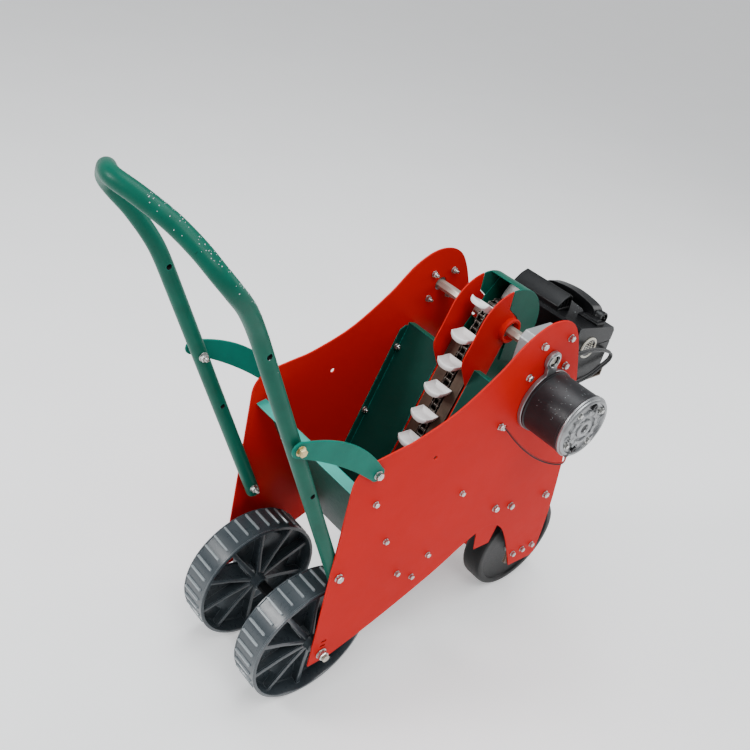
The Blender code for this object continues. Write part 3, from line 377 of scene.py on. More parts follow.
def rings(bm, loops, closed=False):
    """Skin rings of equal count; cap the ends unless the stack closes on itself."""
    made = [[bm.verts.new(p) for p in loop] for loop in loops]
    count = len(made[0])
    for k in range(len(made) if closed else len(made) - 1):
        here, there = made[k], made[(k + 1) % len(made)]
        for i in range(count):
            j = (i + 1) % count
            bm.faces.new((here[i], here[j], there[j], there[i]))
    if not closed:
        bm.faces.new(made[0][::-1])
        bm.faces.new(made[-1])


def rod(bm, profile, centre, sides):
    """Open profile of (radius, y) revolved about a line along Y, both ends capped."""
    rings(bm, [[(x, y, z) for x, z in circle(centre, r, sides)] for r, y in profile])


def turned(bm, profile, centre, sides):
    """Closed profile of (radius, y) revolved about a line along Y."""
    loops = []
    for i in range(sides):
        a = 2 * math.pi * i / sides
        loops.append([(centre[0] + r * math.cos(a), y, centre[1] + r * math.sin(a)) for r, y in profile])
    rings(bm, loops, closed=True)


def hexagon(bm, x, z, y, out, flats, height, turn):
    """Hexagon head or nut with its outer corners chamfered."""
    corner = flats / 2 / math.cos(math.pi / 6)
    loops = []
    for share, at in ((0.97, 0.0), (1.0, 0.06), (1.0, 0.8), (0.9, 1.0)):
        loops.append([(px, y + out * height * at, pz) for px, pz in circle((x, z), corner * share, 6, turn)])
    rings(bm, loops)


def washer(bm, x, z, y, out, radius, thick):
    rod(bm, [(radius - 0.0003, y), (radius, y + out * 0.0003), (radius, y + out * (thick - 0.0003)),
             (radius - 0.0003, y + out * thick)], (x, z), 24)


def bolt(bm, x, z, y, out, flats=0.01, turn=0.3, thread=0.0):
    """Washer and hexagon head; with a thread, the nut's end with the bolt showing."""
    thick = 0.0014
    washer(bm, x, z, y, out, flats * 0.66, thick)
    height = flats * 0.52
    hexagon(bm, x, z, y + out * thick, out, flats, height, turn)
    top = y + out * (thick + height)
    if thread:
        r = flats * 0.29
        steps = max(2, int(thread / 0.0011))
        profile = [(r * 0.9, top - out * 0.001)]
        for k in range(steps):
            base = top + out * thread * k / steps
            profile += [(r * 0.86, base), (r, base + out * thread * 0.5 / steps)]
        profile.append((r * 0.75, top + out * thread))
        rod(bm, profile, (x, z), 14)
    else:
        rod(bm, [(flats * 0.36, top - out * 0.0004), (flats * 0.33, top + out * 0.0005)], (x, z), 18)


def lift(s, n):
    """Point at s along the elevator from the head shaft, n to its rear side."""
    return (SHAFT[0] + s * math.sin(LEAN) - n * math.cos(LEAN),
            SHAFT[1] + s * math.cos(LEAN) + n * math.sin(LEAN))


def lift_arc(s, radius, start, end, steps):
    points = []
    for i in range(steps + 1):
        a = math.radians(start + (end - start) * i / steps)
        points.append(lift(s + radius * math.sin(a), radius * math.cos(a)))
    return points


def repaint(name, look):
    """Give a carried-over CAD node its finish."""
    thing = frame["nodes"][name]
    thing.data.materials.clear()
    thing.data.materials.append(look)


# ---------------------------------------------------------------- side plates
def plate_outline():
    corner = arc((0.02, 0.499), 0.042, 180, 95, 15)
    top = smooth([(0.06, 0.548), (0.1, 0.556), (0.175, 0.585), (0.249, 0.637), (0.3, 0.685),
                  (0.35, 0.707), (0.4, 0.699), (0.435, 0.661), (0.476, 0.572)], 9)
    front = smooth([(0.54, 0.36), (0.56, 0.247), (0.568, 0.15)], 6)
    toe = arc((0.552, 0.119), 0.016, 0, -90, 9)
    arch = smooth([(0.492, 0.104), (0.449, 0.189), (0.412, 0.241), (0.365, 0.265), (0.309, 0.243),
                   (0.24, 0.201), (0.12, 0.144), (0.02, 0.106)], 9)
    return corner + top + front + toe + arch + [(-0.024, 0.103)]


SMALL_BOLTS = [(0.037, 0.449), (0.086, 0.349), (0.14, 0.25), (0.182, 0.2225), (0.21, 0.263), (0.252, 0.389),
               (0.296, 0.519)]
BIG_BOLTS = [(0.369, 0.308), (0.416, 0.296), (0.523, 0.283)]
TOE_BOLTS = [(0.488, 0.1395), (0.516, 0.14), (0.545, 0.1405)]
GEAR_BOLTS = [(0.342, 0.667), (0.411, 0.667), (0.422, 0.61), (0.33, 0.609)]
BEARING_BOLTS = [(0.35, 0.659), (0.4, 0.659), (0.35, 0.609), (0.4, 0.609)]


def side_plate(side, tag):
    y0, y1 = span(side, PLATE_IN, PLATE_OUT)
    holes = [circle((0.0, REAR_R), 0.0073, 24), circle(SHAFT, 0.0135, 40), circle((0.151, 0.501), 0.0042, 20)]
    if side < 0:
        holes.append(circle((0.312, 0.511), 0.0045, 20))
    for low, high in ((0.1405, 0.1455), (0.1515, 0.1565)):
        holes.append([(-0.0055, low), (0.0055, low), (0.0055, high), (-0.0055, high)])
    name = "side_plate_" + tag
    place(name + "_sheet", slab(plate_outline(), y0, y1), RED, stands_for=(name,), bevel=0.0006, angle=40,
          tools=[cutter(hole, y0 - 0.01, y1 + 0.01) for hole in holes])


def plate_bolts():
    """Bolt heads outside both plates, and nuts with their threads inside."""
    chance = random.Random(7)

    def add(bm, groups, face, out):
        for spots, flats, inset, thread in groups:
            for x, z in spots:
                bolt(bm, x, z, face + out * inset, out, flats, chance.uniform(0, 1.05), thread=thread)

    for side, tag in SIDES:
        heads = [(SMALL_BOLTS, 0.0086), (BIG_BOLTS, 0.0112), (TOE_BOLTS, 0.0094)]
        nuts = [(BIG_BOLTS, 0.0105, 0.0025, 0.006), (SMALL_BOLTS[:3], 0.01, 0.0023, 0.004),
                (SMALL_BOLTS[4:], 0.01, 0.0023, 0.004), (TOE_BOLTS[:2], 0.0105, 0.0055, 0.003)]
        if side < 0:
            heads.append((GEAR_BOLTS, 0.0104))
        else:
            nuts.append((BEARING_BOLTS, 0.0098, 0.0, 0.006))
        bm = bmesh.new()
        add(bm, [(*group, 0.00005, 0.0) for group in heads], side * PLATE_OUT, side)
        place("plate_bolts_" + tag, bm, ZINC, **HARDWARE)
        bm = bmesh.new()
        add(bm, nuts, side * (PLATE_IN - 0.00005), -side)
        place("plate_nuts_" + tag, bm, ZINC, **HARDWARE)


# ---------------------------------------------------------------- handle
def tube_loops(points, radius, sides):
    """Rings across a path, carried along it without twisting."""
    path = [Vector(p) for p in points]
    loops = []
    side = None
    for i, here in enumerate(path):
        ahead = path[min(i + 1, len(path) - 1)] - path[max(i - 1, 0)]
        ahead.normalize()
        if side is None:
            side = ahead.cross(Vector((0.0, 0.0, 1.0))).normalized()
        side = (side - ahead * side.dot(ahead)).normalized()
        other = ahead.cross(side)
        loops.append([tuple(here + (side * math.cos(a) + other * math.sin(a)) * radius)
                      for a in (2 * math.pi * k / sides for k in range(sides))])
    return loops


TUBE_R = 0.0123
TUBE_Y = PLATE_IN - 0.0125 - GAP
LEG_TOP = (-0.206, -TUBE_Y, 0.747)
BEND = [(-0.237, -0.1215, 0.812), (-0.268, -0.1335, 0.86), (-0.296, -0.1405, 0.893),
        (-0.312, -0.133, 0.913), (-0.326, -0.108, 0.934), (-0.342, -0.075, 0.953), (-0.362, -0.037, 0.969),
        (-0.374, 0.0, 0.976)]


def handle():
    half = [(0.0055, -TUBE_Y, 0.288), (-0.097, -TUBE_Y, 0.512), LEG_TOP] + BEND
    both = half + [(x, -y, z) for x, y, z in half[-2::-1]]
    path = [both[0]] + smooth(both[2:-2], 8) + [both[-1]]
    bm = bmesh.new()
    rings(bm, tube_loops(path, TUBE_R, 28))
    # The bolt holes' walls take the near-black look: painted shade inside the tube.
    cuts = [cutter(circle(spot, 0.0046, 20), *span(side, TUBE_Y - 0.03, TUBE_Y + 0.03), (GREEN, SEAL_BLACK_AND_PAINTED_SHADE), 1)
            for spot in ((-0.222, 0.784), (-0.0975, 0.513)) for side in (-1, 1)]
    place("handle_bent_tube", bm, GREEN, stands_for=("handle_tube",), tools=cuts, looks=(SEAL_BLACK_AND_PAINTED_SHADE,))


LINK_TOP, LINK_FOOT, LEG_BOLT = (-0.1475, 0.62), (0.02, 0.517), (-0.0045, 0.308)
LINK_SHEET = 0.004


def link_outline():
    """Bar that bows upwards between its two round ends."""
    start, end = Vector(LINK_TOP), Vector(LINK_FOOT)
    along = (end - start).normalized()
    up = Vector((-along.y, along.x))
    tip, steps = 0.0133, 24
    upper, lower = [], []
    for i in range(steps + 1):
        t = i / steps
        swell = 4 * t * (1 - t)
        spot = start.lerp(end, t)
        upper.append(tuple(spot + up * (tip + 0.019 * swell)))
        lower.append(tuple(spot - up * (tip - 0.008 * swell)))
    base = math.degrees(math.atan2(along.y, along.x))
    return (upper + arc(end, tip, base + 70, base - 70, 12) + lower[::-1]
            + arc(start, tip, base + 250, base + 110, 12))


def link_arms():
    for side, tag in SIDES:
        face = side * (PLATE_OUT + GAP + LINK_SHEET)
        bm = slab(link_outline(), *span(side, PLATE_OUT + GAP, PLATE_OUT + GAP + LINK_SHEET))
        place("link_arm_%s_bar" % tag, bm, ARM_GREEN_PAINTED_LIGHT, stands_for=("link_arm_" + tag,), bevel=0.0011, angle=40,
              segments=3)
        bm = bmesh.new()
        bolt(bm, *LINK_TOP, face, side, 0.0125, 0.2)
        rod(bm, [(0.004, face), (0.004, side * (PLATE_IN - 0.001))], LINK_TOP, 16)
        place("link_bolt_%s_head" % tag, bm, YELLOW_ZINC if side < 0 else ZINC,
              stands_for=("link_bolt_" + tag,), **HARDWARE)
        bm = bmesh.new()
        bolt(bm, *LINK_FOOT, face, side, 0.0118, 0.7)
        place("link_plate_bolt_" + tag, bm, ZINC, **HARDWARE)
        bm = bmesh.new()
        tube_in = side * (PLATE_IN - 0.0252)
        bolt(bm, *LEG_BOLT, side * PLATE_OUT, side, 0.012, 0.5)
        bolt(bm, *LEG_BOLT, tube_in, -side, 0.0115, 0.9, thread=0.007)
        bolt(bm, *LINK_TOP, tube_in, -side, 0.0118, 0.9, thread=0.005)
        place("handle_bolts_" + tag, bm, ZINC, **HARDWARE)


# ---------------------------------------------------------------- wheels
REAR_IN, REAR_OUT = 0.0525, 0.1118
REAR_MID = (REAR_IN + REAR_OUT) / 2
REAR_WIDE = REAR_OUT - REAR_IN
SKIN = 0.1218                      # radius of the tread between its ribs
REAR_RIM = 0.09                  # radius where the web meets the rim
SPOKES, RIBS = 10, 34


def rear_wheel(tag, side):
    """Moulded wheel: ribbed tread, web with alternate openings, blade spokes."""
    bm = bmesh.new()
    tread = [(0.0014, 0.001), (0.0014, 0.003), (0.0, 0.0044)]
    lining = [(-0.004, 0.0), (-0.0052, 0.002), (-0.0058, REAR_WIDE / 2 - 0.004),
              (-0.0075, REAR_WIDE / 2 - 0.0022)]
    groove = [(REAR_RIM - SKIN, REAR_WIDE / 2 - 0.002), (REAR_RIM - 0.001 - SKIN, REAR_WIDE / 2 - 0.001)]
    inner_half = [(-0.0004, 0.0)] + tread
    outer_half = [(r, REAR_WIDE - y) for r, y in inner_half[::-1] + lining + groove]
    profile = inner_half + outer_half + (lining + groove)[::-1]
    turned(bm, [(SKIN + r, side * (REAR_IN + y)) for r, y in profile], (0.0, REAR_R), 128)
    hub = [(0.0074, REAR_IN - 0.011), (0.0125, REAR_IN - 0.011), (0.0135, REAR_IN - 0.01),
           (0.015, REAR_IN + 0.01), (0.019, REAR_IN + 0.016), (0.019, REAR_OUT - 0.014),
           (0.015, REAR_OUT - 0.008), (0.0135, REAR_OUT + 0.0065), (0.0125, REAR_OUT + 0.0075),
           (0.0074, REAR_OUT + 0.0075)]
    turned(bm, [(r, side * y) for r, y in hub], (0.0, REAR_R), 48)
    for k in range(SPOKES):
        a = 2 * math.pi * (k + 0.5) / SPOKES
        spoke(bm, a, side)
        if k % 2 == 0:
            panel(bm, a, a + 2 * math.pi / SPOKES, side)
    for k in range(RIBS):
        tread_rib(bm, 2 * math.pi * k / RIBS, side)
    place("rear_wheel_%s_moulding" % tag, bm, WHEEL_GREY, body="rear_wheel_" + tag,
          stands_for=("rear_wheel_" + tag,), angle=32, looks=(RIB_PAINTED_HIGHLIGHT,))


def spoke(bm, a, side):
    """Tapering blade, thickened at both long edges."""
    across = Vector((-math.sin(a), math.cos(a)))
    loops = []
    for r, wide, thin in ((0.0155, 0.0245, 0.003), (0.06, 0.0205, 0.0021), (0.118, 0.0185, 0.003)):
        loop = []
        bead = thin + 0.0016
        section = [(-wide, bead * 0.7), (-wide + 0.0006, bead), (-wide + 0.0034, bead),
                   (-wide + 0.0046, thin), (wide - 0.0046, thin), (wide - 0.0034, bead),
                   (wide - 0.0006, bead), (wide, bead * 0.7)]
        section += [(y, -t) for y, t in section[::-1]]
        for y, t in section:
            loop.append((r * math.cos(a) + across.x * t, side * (REAR_MID + y),
                         REAR_R + r * math.sin(a) + across.y * t))
        loops.append(loop)
    rings(bm, loops)


def panel(bm, a0, a1, side):
    """Thin web that fills a sector between two blades."""
    outline = [(0.016, a0), (REAR_RIM, a0), (REAR_RIM, (a0 + a1) / 2), (REAR_RIM, a1), (0.016, a1)]
    flat = [(r * math.cos(a), REAR_R + r * math.sin(a)) for r, a in outline]
    prism(bm, flat, side * (REAR_MID - 0.0012), side * (REAR_MID + 0.0012))


def tread_rib(bm, a, side):
    """Raised bar across the tread with round ends."""
    half, long = 0.0019, 0.0196
    middle = REAR_MID + side * 0.0045
    flat = []
    for end in (1, -1):
        for k in range(7):
            t = math.pi * k / 6
            flat.append((end * half * math.cos(t), end * (long + half * math.sin(t))))
    loops = []
    for r, share in ((SKIN - 0.001, 1.1), (SKIN + 0.0022, 1.0), (SKIN + 0.003, 0.72)):
        loop = []
        for t, y in flat:
            swing = a + t * share / r
            y_at = middle + y - (1 - share) * math.copysign(half, y)
            loop.append((r * math.cos(swing), side * y_at, REAR_R + r * math.sin(swing)))
        loops.append(loop)
    older = set(bm.faces)
    rings(bm, loops)
    # The rib's faces take the second look, the lighter plastic: a painted highlight.
    for face in bm.faces:
        if face not in older:
            face.material_index = 1


def front_wheel(tag, side):
    """Plain moulded wheel with a rounded tread, raised rim and bossed hub."""
    inner, outer = 0.055, 0.1
    r = FRONT_R
    half = [(0.0084, outer), (0.0235, outer), (0.025, outer - 0.001), (0.0265, outer - 0.0045),
            (0.09, outer - 0.0045), (0.092, outer - 0.0035), (0.0935, outer - 0.0005), (0.0945, outer),
            (r - 0.006, outer), (r - 0.003, outer - 0.0008), (r - 0.0008, outer - 0.0035),
            (r, outer - 0.008)]
    other = [(q, inner + outer - y) for q, y in half[::-1]]
    bm = bmesh.new()
    turned(bm, [(q, side * y) for q, y in half + other], (FRONT_X, FRONT_R), 120)
    place("front_wheel_%s_moulding" % tag, bm, TYRE_BLACK, body="front_wheel_" + tag,
          stands_for=("front_wheel_" + tag,), angle=32)


def axle_ends():
    for side, tag in SIDES:
        bm = bmesh.new()
        face = side * (PLATE_OUT + GAP)
        washer(bm, 0.0, REAR_R, face, side, 0.0108, 0.0016)
        hexagon(bm, 0.0, REAR_R, face + side * 0.0016, side, 0.0168, 0.0088, 0.35)
        place("axle_nut_%s_hex" % tag, bm, ZINC, stands_for=("axle_nut_" + tag,),
              bevel=0.0003, angle=25, segments=1)
    bm = bmesh.new()
    end = PLATE_OUT + 0.016
    start = PLATE_OUT + 0.01
    profile = [(0.0055, -end)]
    for k in range(6):
        y = -end + 0.0006 + k * 0.001
        profile += [(0.0069, y), (0.0061, y + 0.0005)]
    profile += [(0.0069, -start), (0.0069, start)]
    for k in range(6):
        y = start + 0.0003 + k * 0.001
        profile += [(0.0061, y), (0.0069, y + 0.0005)]
    profile.append((0.0055, end))
    rod(bm, profile, (0.0, REAR_R), 28)
    place("rear_axle_bar", bm, SHAFT_STEEL, stands_for=("rear_axle",), angle=50)


# ---------------------------------------------------------------- elevator
def chain_place(distance):
    """Pitch-line point as (s, n), the way the chain runs there, and the way out of its loop."""
    distance %= CHAIN_LOOP
    half_turn = math.pi * SPROCKET_R
    if distance < RUN:
        s, n, turn = distance - RUN, SPROCKET_R, 0.0
    elif distance < RUN + half_turn:
        turn = (distance - RUN) / SPROCKET_R
        s, n = SPROCKET_R * math.sin(turn), SPROCKET_R * math.cos(turn)
    elif distance < 2 * RUN + half_turn:
        s, n, turn = RUN + half_turn - distance, -SPROCKET_R, math.pi
    else:
        turn = math.pi + (distance - 2 * RUN - half_turn) / SPROCKET_R
        s, n = SPROCKET_R * math.sin(turn) - RUN, SPROCKET_R * math.cos(turn)
    out = Vector((math.sin(turn), math.cos(turn)))
    return Vector((s, n)), Vector((out.y, -out.x)), out


def chain():
    spots = [lift(*chain_place((k + 0.25) * CHAIN_LOOP / LINKS)[0]) for k in range(LINKS)]
    plate_r, waist = 0.0052, 0.004
    bm = bmesh.new()
    for k, spot in enumerate(spots):
        rod(bm, [(0.0036, -0.0044), (0.0041, -0.004), (0.0041, 0.004), (0.0036, 0.0044)], spot, 12)
        rod(bm, [(0.002, -0.0083), (0.002, 0.0083)], spot, 8)
        here, there = Vector(spot), Vector(spots[(k + 1) % LINKS])
        along = (there - here).normalized()
        up = Vector((-along.y, along.x))
        base = math.degrees(math.atan2(along.y, along.x))
        outline = arc(there, plate_r, base - 90, base + 90, 5) + [tuple((here + there) / 2 + up * waist)]
        outline += arc(here, plate_r, base + 90, base + 270, 5) + [tuple((here + there) / 2 - up * waist)]
        inner = 0.0046 if k % 2 else 0.0062
        for side in (-1, 1):
            prism(bm, outline, *span(side, inner, inner + 0.0013))
    place("elevator_chain_links", bm, CHAIN_STEEL, stands_for=("elevator_chain",), angle=40)


def sprocket(name, centre, body, bore):
    teeth = 16
    flank = ((-0.36, 0.0294), (-0.24, 0.033), (-0.12, 0.0356), (0.0, 0.036), (0.12, 0.0356),
             (0.24, 0.033), (0.36, 0.0294))
    outline = []
    for k in range(teeth):
        for share, radius in ((-0.5, 0.0288), *flank):
            a = (k + share) * 2 * math.pi / teeth
            outline.append((centre[0] + radius * math.cos(a), centre[1] + radius * math.sin(a)))
    bm = slab(outline, -0.0031, 0.0031)
    rod(bm, [(0.0155, -0.0094), (0.0165, -0.0084), (0.0165, 0.0084), (0.0155, 0.0094)], centre, 40)
    place(name + "_wheel", bm, BARE, body=body, stands_for=(name,), tools=[cutter(bore, -0.02, 0.02)],
          bevel=0.0003, angle=30)


def spoon_ring(reach, half, sag, ears):
    """Mouth outline as (out, y, rise): straight lip, round back corners, raised tips at the lip."""
    loop = []
    for k in range(17):
        t = -1.0 + 2.0 * k / 16
        loop.append((reach * (1.0 - 0.1 * t * t) - 0.001, half * t, ears * abs(t) ** 3 - sag * (1 - t * t)))
    flank = []
    for k in range(1, 12):
        bulge = 1.0 + 0.04 * math.sin(math.pi * k / 12)
        flank.append((reach * 0.9 * (1.0 - k / 12), half * bulge, ears * (1 - k / 6) if k < 6 else 0.0))
    back = [(0.0, half * (1.0 - k / 4), 0.0) for k in range(9)]
    return loop + flank + back + [(d, -y, rise) for d, y, rise in flank[::-1]]


def spoon(index):
    """Scoop with a nearly square mouth, a straight lip that rises to two tips, and a round belly."""
    base, along, out = chain_place(SPOON_FIRST + index * CHAIN_LOOP / SPOONS)
    levels = [(0.2, -0.008, 0.005), (0.42, -0.0074, 0.004), (0.64, -0.0058, 0.003), (0.82, -0.003, 0.002),
              (0.92, 0.0006, 0.001), (0.985, 0.005, 0.0), (1.0, 0.0076, 0.0), (0.945, 0.0077, 0.0005),
              (0.915, 0.0052, 0.001), (0.84, 0.0022, 0.002), (0.68, -0.0006, 0.003), (0.42, -0.0022, 0.004),
              (0.2, -0.0026, 0.005)]
    loops = []
    for share, level, inset in levels:
        ring = []
        for d, y, rise in spoon_ring(0.0335 * (0.35 + 0.65 * share), 0.02 * share, 0.0014, 0.0026):
            tip = rise * max(0.0, share - 0.5) * 2
            fall = 0.36 * share * (inset + d)
            x, z = lift(*(base + along * (level + tip - fall) + out * (CHAIN_HALF + GAP + inset + d)))
            ring.append((x, y, z))
        loops.append(ring)
    bm = bmesh.new()
    rings(bm, loops)
    name = "spoon_%02d" % (index + 1)
    place(name + "_scoop", bm, SPOON_WHITE, stands_for=(name,), angle=50)


def spoon_lugs():
    """Small steel tabs that hold the spoons to the chain."""
    bm = bmesh.new()
    for index in range(SPOONS):
        base, along, out = chain_place(SPOON_FIRST + index * CHAIN_LOOP / SPOONS)
        corners = [lift(*(base + along * level + out * d))
                   for level, d in ((-0.006, 0.0045), (0.006, 0.0045), (0.006, 0.0066), (-0.006, 0.0066))]
        prism(bm, corners, -0.0075, 0.0075)
    place("spoon_lugs", bm, CHAIN_STEEL, bevel=0.0004)


def cheek_outline():
    radius = 0.077
    head = lift_arc(0.0, radius, 62, 0, 18)
    tail = smooth([lift(-0.04, radius), lift(-0.074, 0.0755), lift(-0.104, 0.048), lift(-0.118, 0.033)], 9)
    tail += [lift(-RUN - 0.015, 0.033), lift(-RUN - 0.03, 0.01), lift(-RUN - 0.015, -0.008),
             lift(-0.027, -0.008), lift(-0.012, -0.0205), lift(0.012, -0.0205), lift(0.024, -0.006),
             lift(0.036, 0.024)]
    return head + tail


def cheeks():
    for side, tag in SIDES:
        name = "elevator_cheek_" + tag
        holes = [cutter(circle(SHAFT, COLLAR_BORE, 48), *THROUGH),
                 cutter(circle(FOOT_AT, 0.0053, 20), *THROUGH)]
        place(name + "_sheet", slab(cheek_outline(), *span(side, 0.034, 0.0365)), RED, stands_for=(name,),
              bevel=0.0005, angle=40, tools=holes)
        bm = bmesh.new()
        face = 0.0368
        profile = [(0.0165, 0.0345), (0.023, 0.0345), (0.0232, face + 0.006), (0.0228, face + 0.0078),
                   (0.0218, face + 0.0088), (0.018, face + 0.0088), (0.0168, face + 0.008),
                   (0.0165, face + 0.006)]
        turned(bm, [(r, side * y) for r, y in profile], SHAFT, 64)
        place("cheek_collar_" + tag, bm, RED, angle=40)


def cover():
    """Green casing over the head and down the front, stepped round the red cheeks and their collars."""
    half, outer, sheet = 0.0337, 0.0765, 0.002
    skin = outer + 0.0002
    rear_line = [lift(-0.285, 0.02), lift(-0.03, 0.02), lift(0.014, 0.0065), lift(0.03, 0.0065)]
    channel = lift_arc(0.0, outer, 100, 180, 30) + [lift(-0.285, -outer)] + rear_line
    inside = lift_arc(0.0, outer - sheet, 84, 180, 32) + [
        lift(-0.33, -outer + sheet), lift(-0.33, 0.05), lift(0.09, 0.05)]
    cuts = [cutter(inside, -half + sheet, half - sheet), cutter(circle(SHAFT, COLLAR_BORE, 48), *THROUGH)]
    edge = {"angle": 40, "segments": 1}
    place("chute_cover_channel", slab(channel, -half, half), GREEN, stands_for=("chute_cover",),
          bevel=0.0004, tools=cuts, **edge)
    roof = lift_arc(0.0, skin, 76, 101, 12) + lift_arc(0.0, outer - 0.0014, 101, 76, 12)
    place("chute_cover_roof", slab(roof, -half - 0.003, half + 0.003), GREEN, bevel=0.0003, **edge)
    step = [lift(0.019, -0.015), lift(0.025, -0.008), lift(0.0364, 0.0216)]
    round_collar = arc(SHAFT, 0.0236, -72, 40, 14)
    line = lift_arc(0.0, skin, 64, 180, 36) + [lift(-0.06, -outer - 0.0004), lift(-0.06, -0.024)]
    for side, tag in SIDES:
        place("chute_cover_side_" + tag, slab(line + round_collar + step, *span(side, half + GAP, 0.0364)),
              GREEN, bevel=0.0004, **edge)


def hex_shaft():
    bm = bmesh.new()
    rod(bm, [(HEX_CORNER - 0.0012, -0.1415), (HEX_CORNER, -0.1403), (HEX_CORNER, 0.1498),
             (HEX_CORNER - 0.0012, 0.151)], SHAFT, 6)
    place("hex_shaft_bar", bm, SHAFT_STEEL, body="drive_shaft", stands_for=("hex_shaft",), bevel=0.0005,
          angle=30)
    bm = bmesh.new()
    for side in (-1, 1):
        y0, y1 = span(side, 0.01, 0.0145)
        turned(bm, [(0.0098, y0), (0.015, y0), (0.0156, y0 + 0.0006), (0.0156, y1 - 0.0006), (0.015, y1),
                    (0.0098, y1)], SHAFT, 36)
    place("shaft_collars", bm, SHAFT_STEEL, body="drive_shaft")


# ---------------------------------------------------------------- drive
def gearbox():
    y0 = -PLATE_IN + GAP
    flange = [(0.334, 0.679), (0.32, 0.665), (0.32, 0.598), (0.344, 0.57), (0.344, 0.53), (0.36, 0.502),
              (0.42, 0.502), (0.438, 0.53), (0.433, 0.598), (0.43, 0.665), (0.416, 0.679)]
    body = [(0.344, 0.673), (0.333, 0.662), (0.333, 0.598), (0.346, 0.533), (0.365, 0.512), (0.415, 0.512),
            (0.428, 0.533), (0.423, 0.598), (0.419, 0.662), (0.408, 0.673)]
    bore = circle(SHAFT, 0.0112, 36)
    place("gearbox_flange", slab(flange, y0, y0 + 0.012), ALLOY, stands_for=("gearbox_housing",),
          bevel=0.0012, angle=30, segments=3, tools=[cutter(bore, -0.2, -0.05)])
    place("gearbox_shell", slab(body, y0 + 0.01, -0.0906), ALLOY, bevel=0.0022, angle=30, segments=4,
          tools=[cutter(bore, -0.2, -0.05)])
    bm = bmesh.new()
    turned(bm, [(0.0112, -0.0912), (0.019, -0.0912), (0.0196, -0.0906), (0.0196, -0.1),
                (0.0112, -0.1)], SHAFT, 40)
    place("gearbox_seal_ring", bm, MACHINED)


def gearbox_cover():
    """Teardrop flange with a bored shaft boss and the motor's seat."""
    axis = Vector(SHAFT) - Vector(MOTOR)
    base = math.degrees(math.atan2(axis.y, axis.x))
    boss, seat, web = 0.0168, MOTOR_R + 0.0006, 0.0115
    at_boss = math.degrees(math.asin(web / boss))
    at_seat = math.degrees(math.asin(web / seat))
    outline = arc(SHAFT, boss, base - 180 + at_boss, base + 180 - at_boss, 40)
    outline += arc(MOTOR, seat, base + at_seat, base + 360 - at_seat, 90)
    place("gearbox_cover_flange", slab(outline, -0.1439, -PLATE_OUT - GAP), CAP_ALLOY,
          stands_for=("gearbox_cover",), bevel=0.0014, angle=40, segments=3,
          tools=[cutter(circle(SHAFT, 0.0104, 36), -0.2, -0.1)])
    bm = bmesh.new()
    turned(bm, [(0.0104, -0.1436), (0.0128, -0.1436), (0.0133, -0.1442), (0.0133, -0.1452), (0.0128, -0.1457),
                (0.011, -0.1457), (0.0104, -0.145)], SHAFT, 40)
    place("boss_snap_ring", bm, MACHINED)
    bm = bmesh.new()
    turned(bm, [(0.0098, -0.138), (0.0112, -0.138), (0.0112, -0.1425), (0.0098, -0.1425)], SHAFT, 36)
    place("boss_seal", bm, SEAL_BLACK_AND_PAINTED_SHADE)


def motor():
    """Black can, alloy end bell with its ribs and screws, and two brush caps."""
    can = [(0.0006, 0.1442), (0.0, 0.1448), (0.0, 0.1478), (0.0008, 0.1486), (0.0022, 0.1488),
           (0.0024, 0.15), (0.0024, 0.2165), (0.0018, 0.2172), (0.001, 0.2176), (0.001, 0.2206),
           (0.0016, 0.2212)]
    bm = bmesh.new()
    rod(bm, [(MOTOR_R - inset, -y) for inset, y in can], MOTOR, 128)
    place("motor_can", bm, MOTOR_BLACK, stands_for=("motor_body",), angle=40)
    y = -0.2215
    rim = [(0.0015, 0.0), (0.0005, 0.0006), (0.0005, 0.0036), (0.0018, 0.0046), (0.0026, 0.0048),
           (0.003, 0.0072), (0.0044, 0.0086), (0.008, 0.0094), (0.0094, 0.0088), (0.0104, 0.0058)]
    middle = [(0.0345, 0.0052), (0.033, 0.006), (0.0322, 0.0084), (0.0312, 0.009), (0.0262, 0.009),
              (0.0252, 0.0084), (0.0246, 0.0058), (0.018, 0.0056), (0.0172, 0.0088), (0.0162, 0.0096),
              (0.0098, 0.0096), (0.009, 0.009), (0.0084, 0.007)]
    bell = [(MOTOR_R - inset, y - proud) for inset, proud in rim] + [(r, y - proud) for r, proud in middle]
    bm = bmesh.new()
    rod(bm, bell, MOTOR, 128)
    for k in range(12):
        lump(bm, math.radians(30 * k), 0.0246, 0.0352, 0.0026, y - 0.005, y - 0.0098)
    for k in range(6):
        lump(bm, math.radians(15 + 60 * k), 0.034, 0.049, 0.0013, y - 0.005, y - 0.0078)
    place("motor_end_bell", bm, CAP_ALLOY, stands_for=("motor_end_cap",), bevel=0.0004,
          angle=35, segments=1)
    bm = bmesh.new()
    for k, (x, z) in enumerate(circle(MOTOR, 0.0425, 4, math.radians(38))):
        rod(bm, [(0.0062, y - 0.005), (0.0058, y - 0.0082)], (x, z), 24)
        hexagon(bm, x, z, y - 0.008, -1, 0.008, 0.0034, 0.3 + k)
    place("motor_screws", bm, ZINC, **HARDWARE)
    bm = bmesh.new()
    for spot in circle(MOTOR, 0.042, 2, math.radians(80)):
        rod(bm, [(0.006, y - 0.005), (0.006, y - 0.0096), (0.0053, y - 0.0104), (0.0026, y - 0.0104),
                 (0.0026, y - 0.0096)], spot, 28)
    rod(bm, [(0.008, y - 0.006), (0.008, y - 0.0072)], MOTOR, 32)
    place("motor_brush_caps", bm, MOTOR_BLACK)


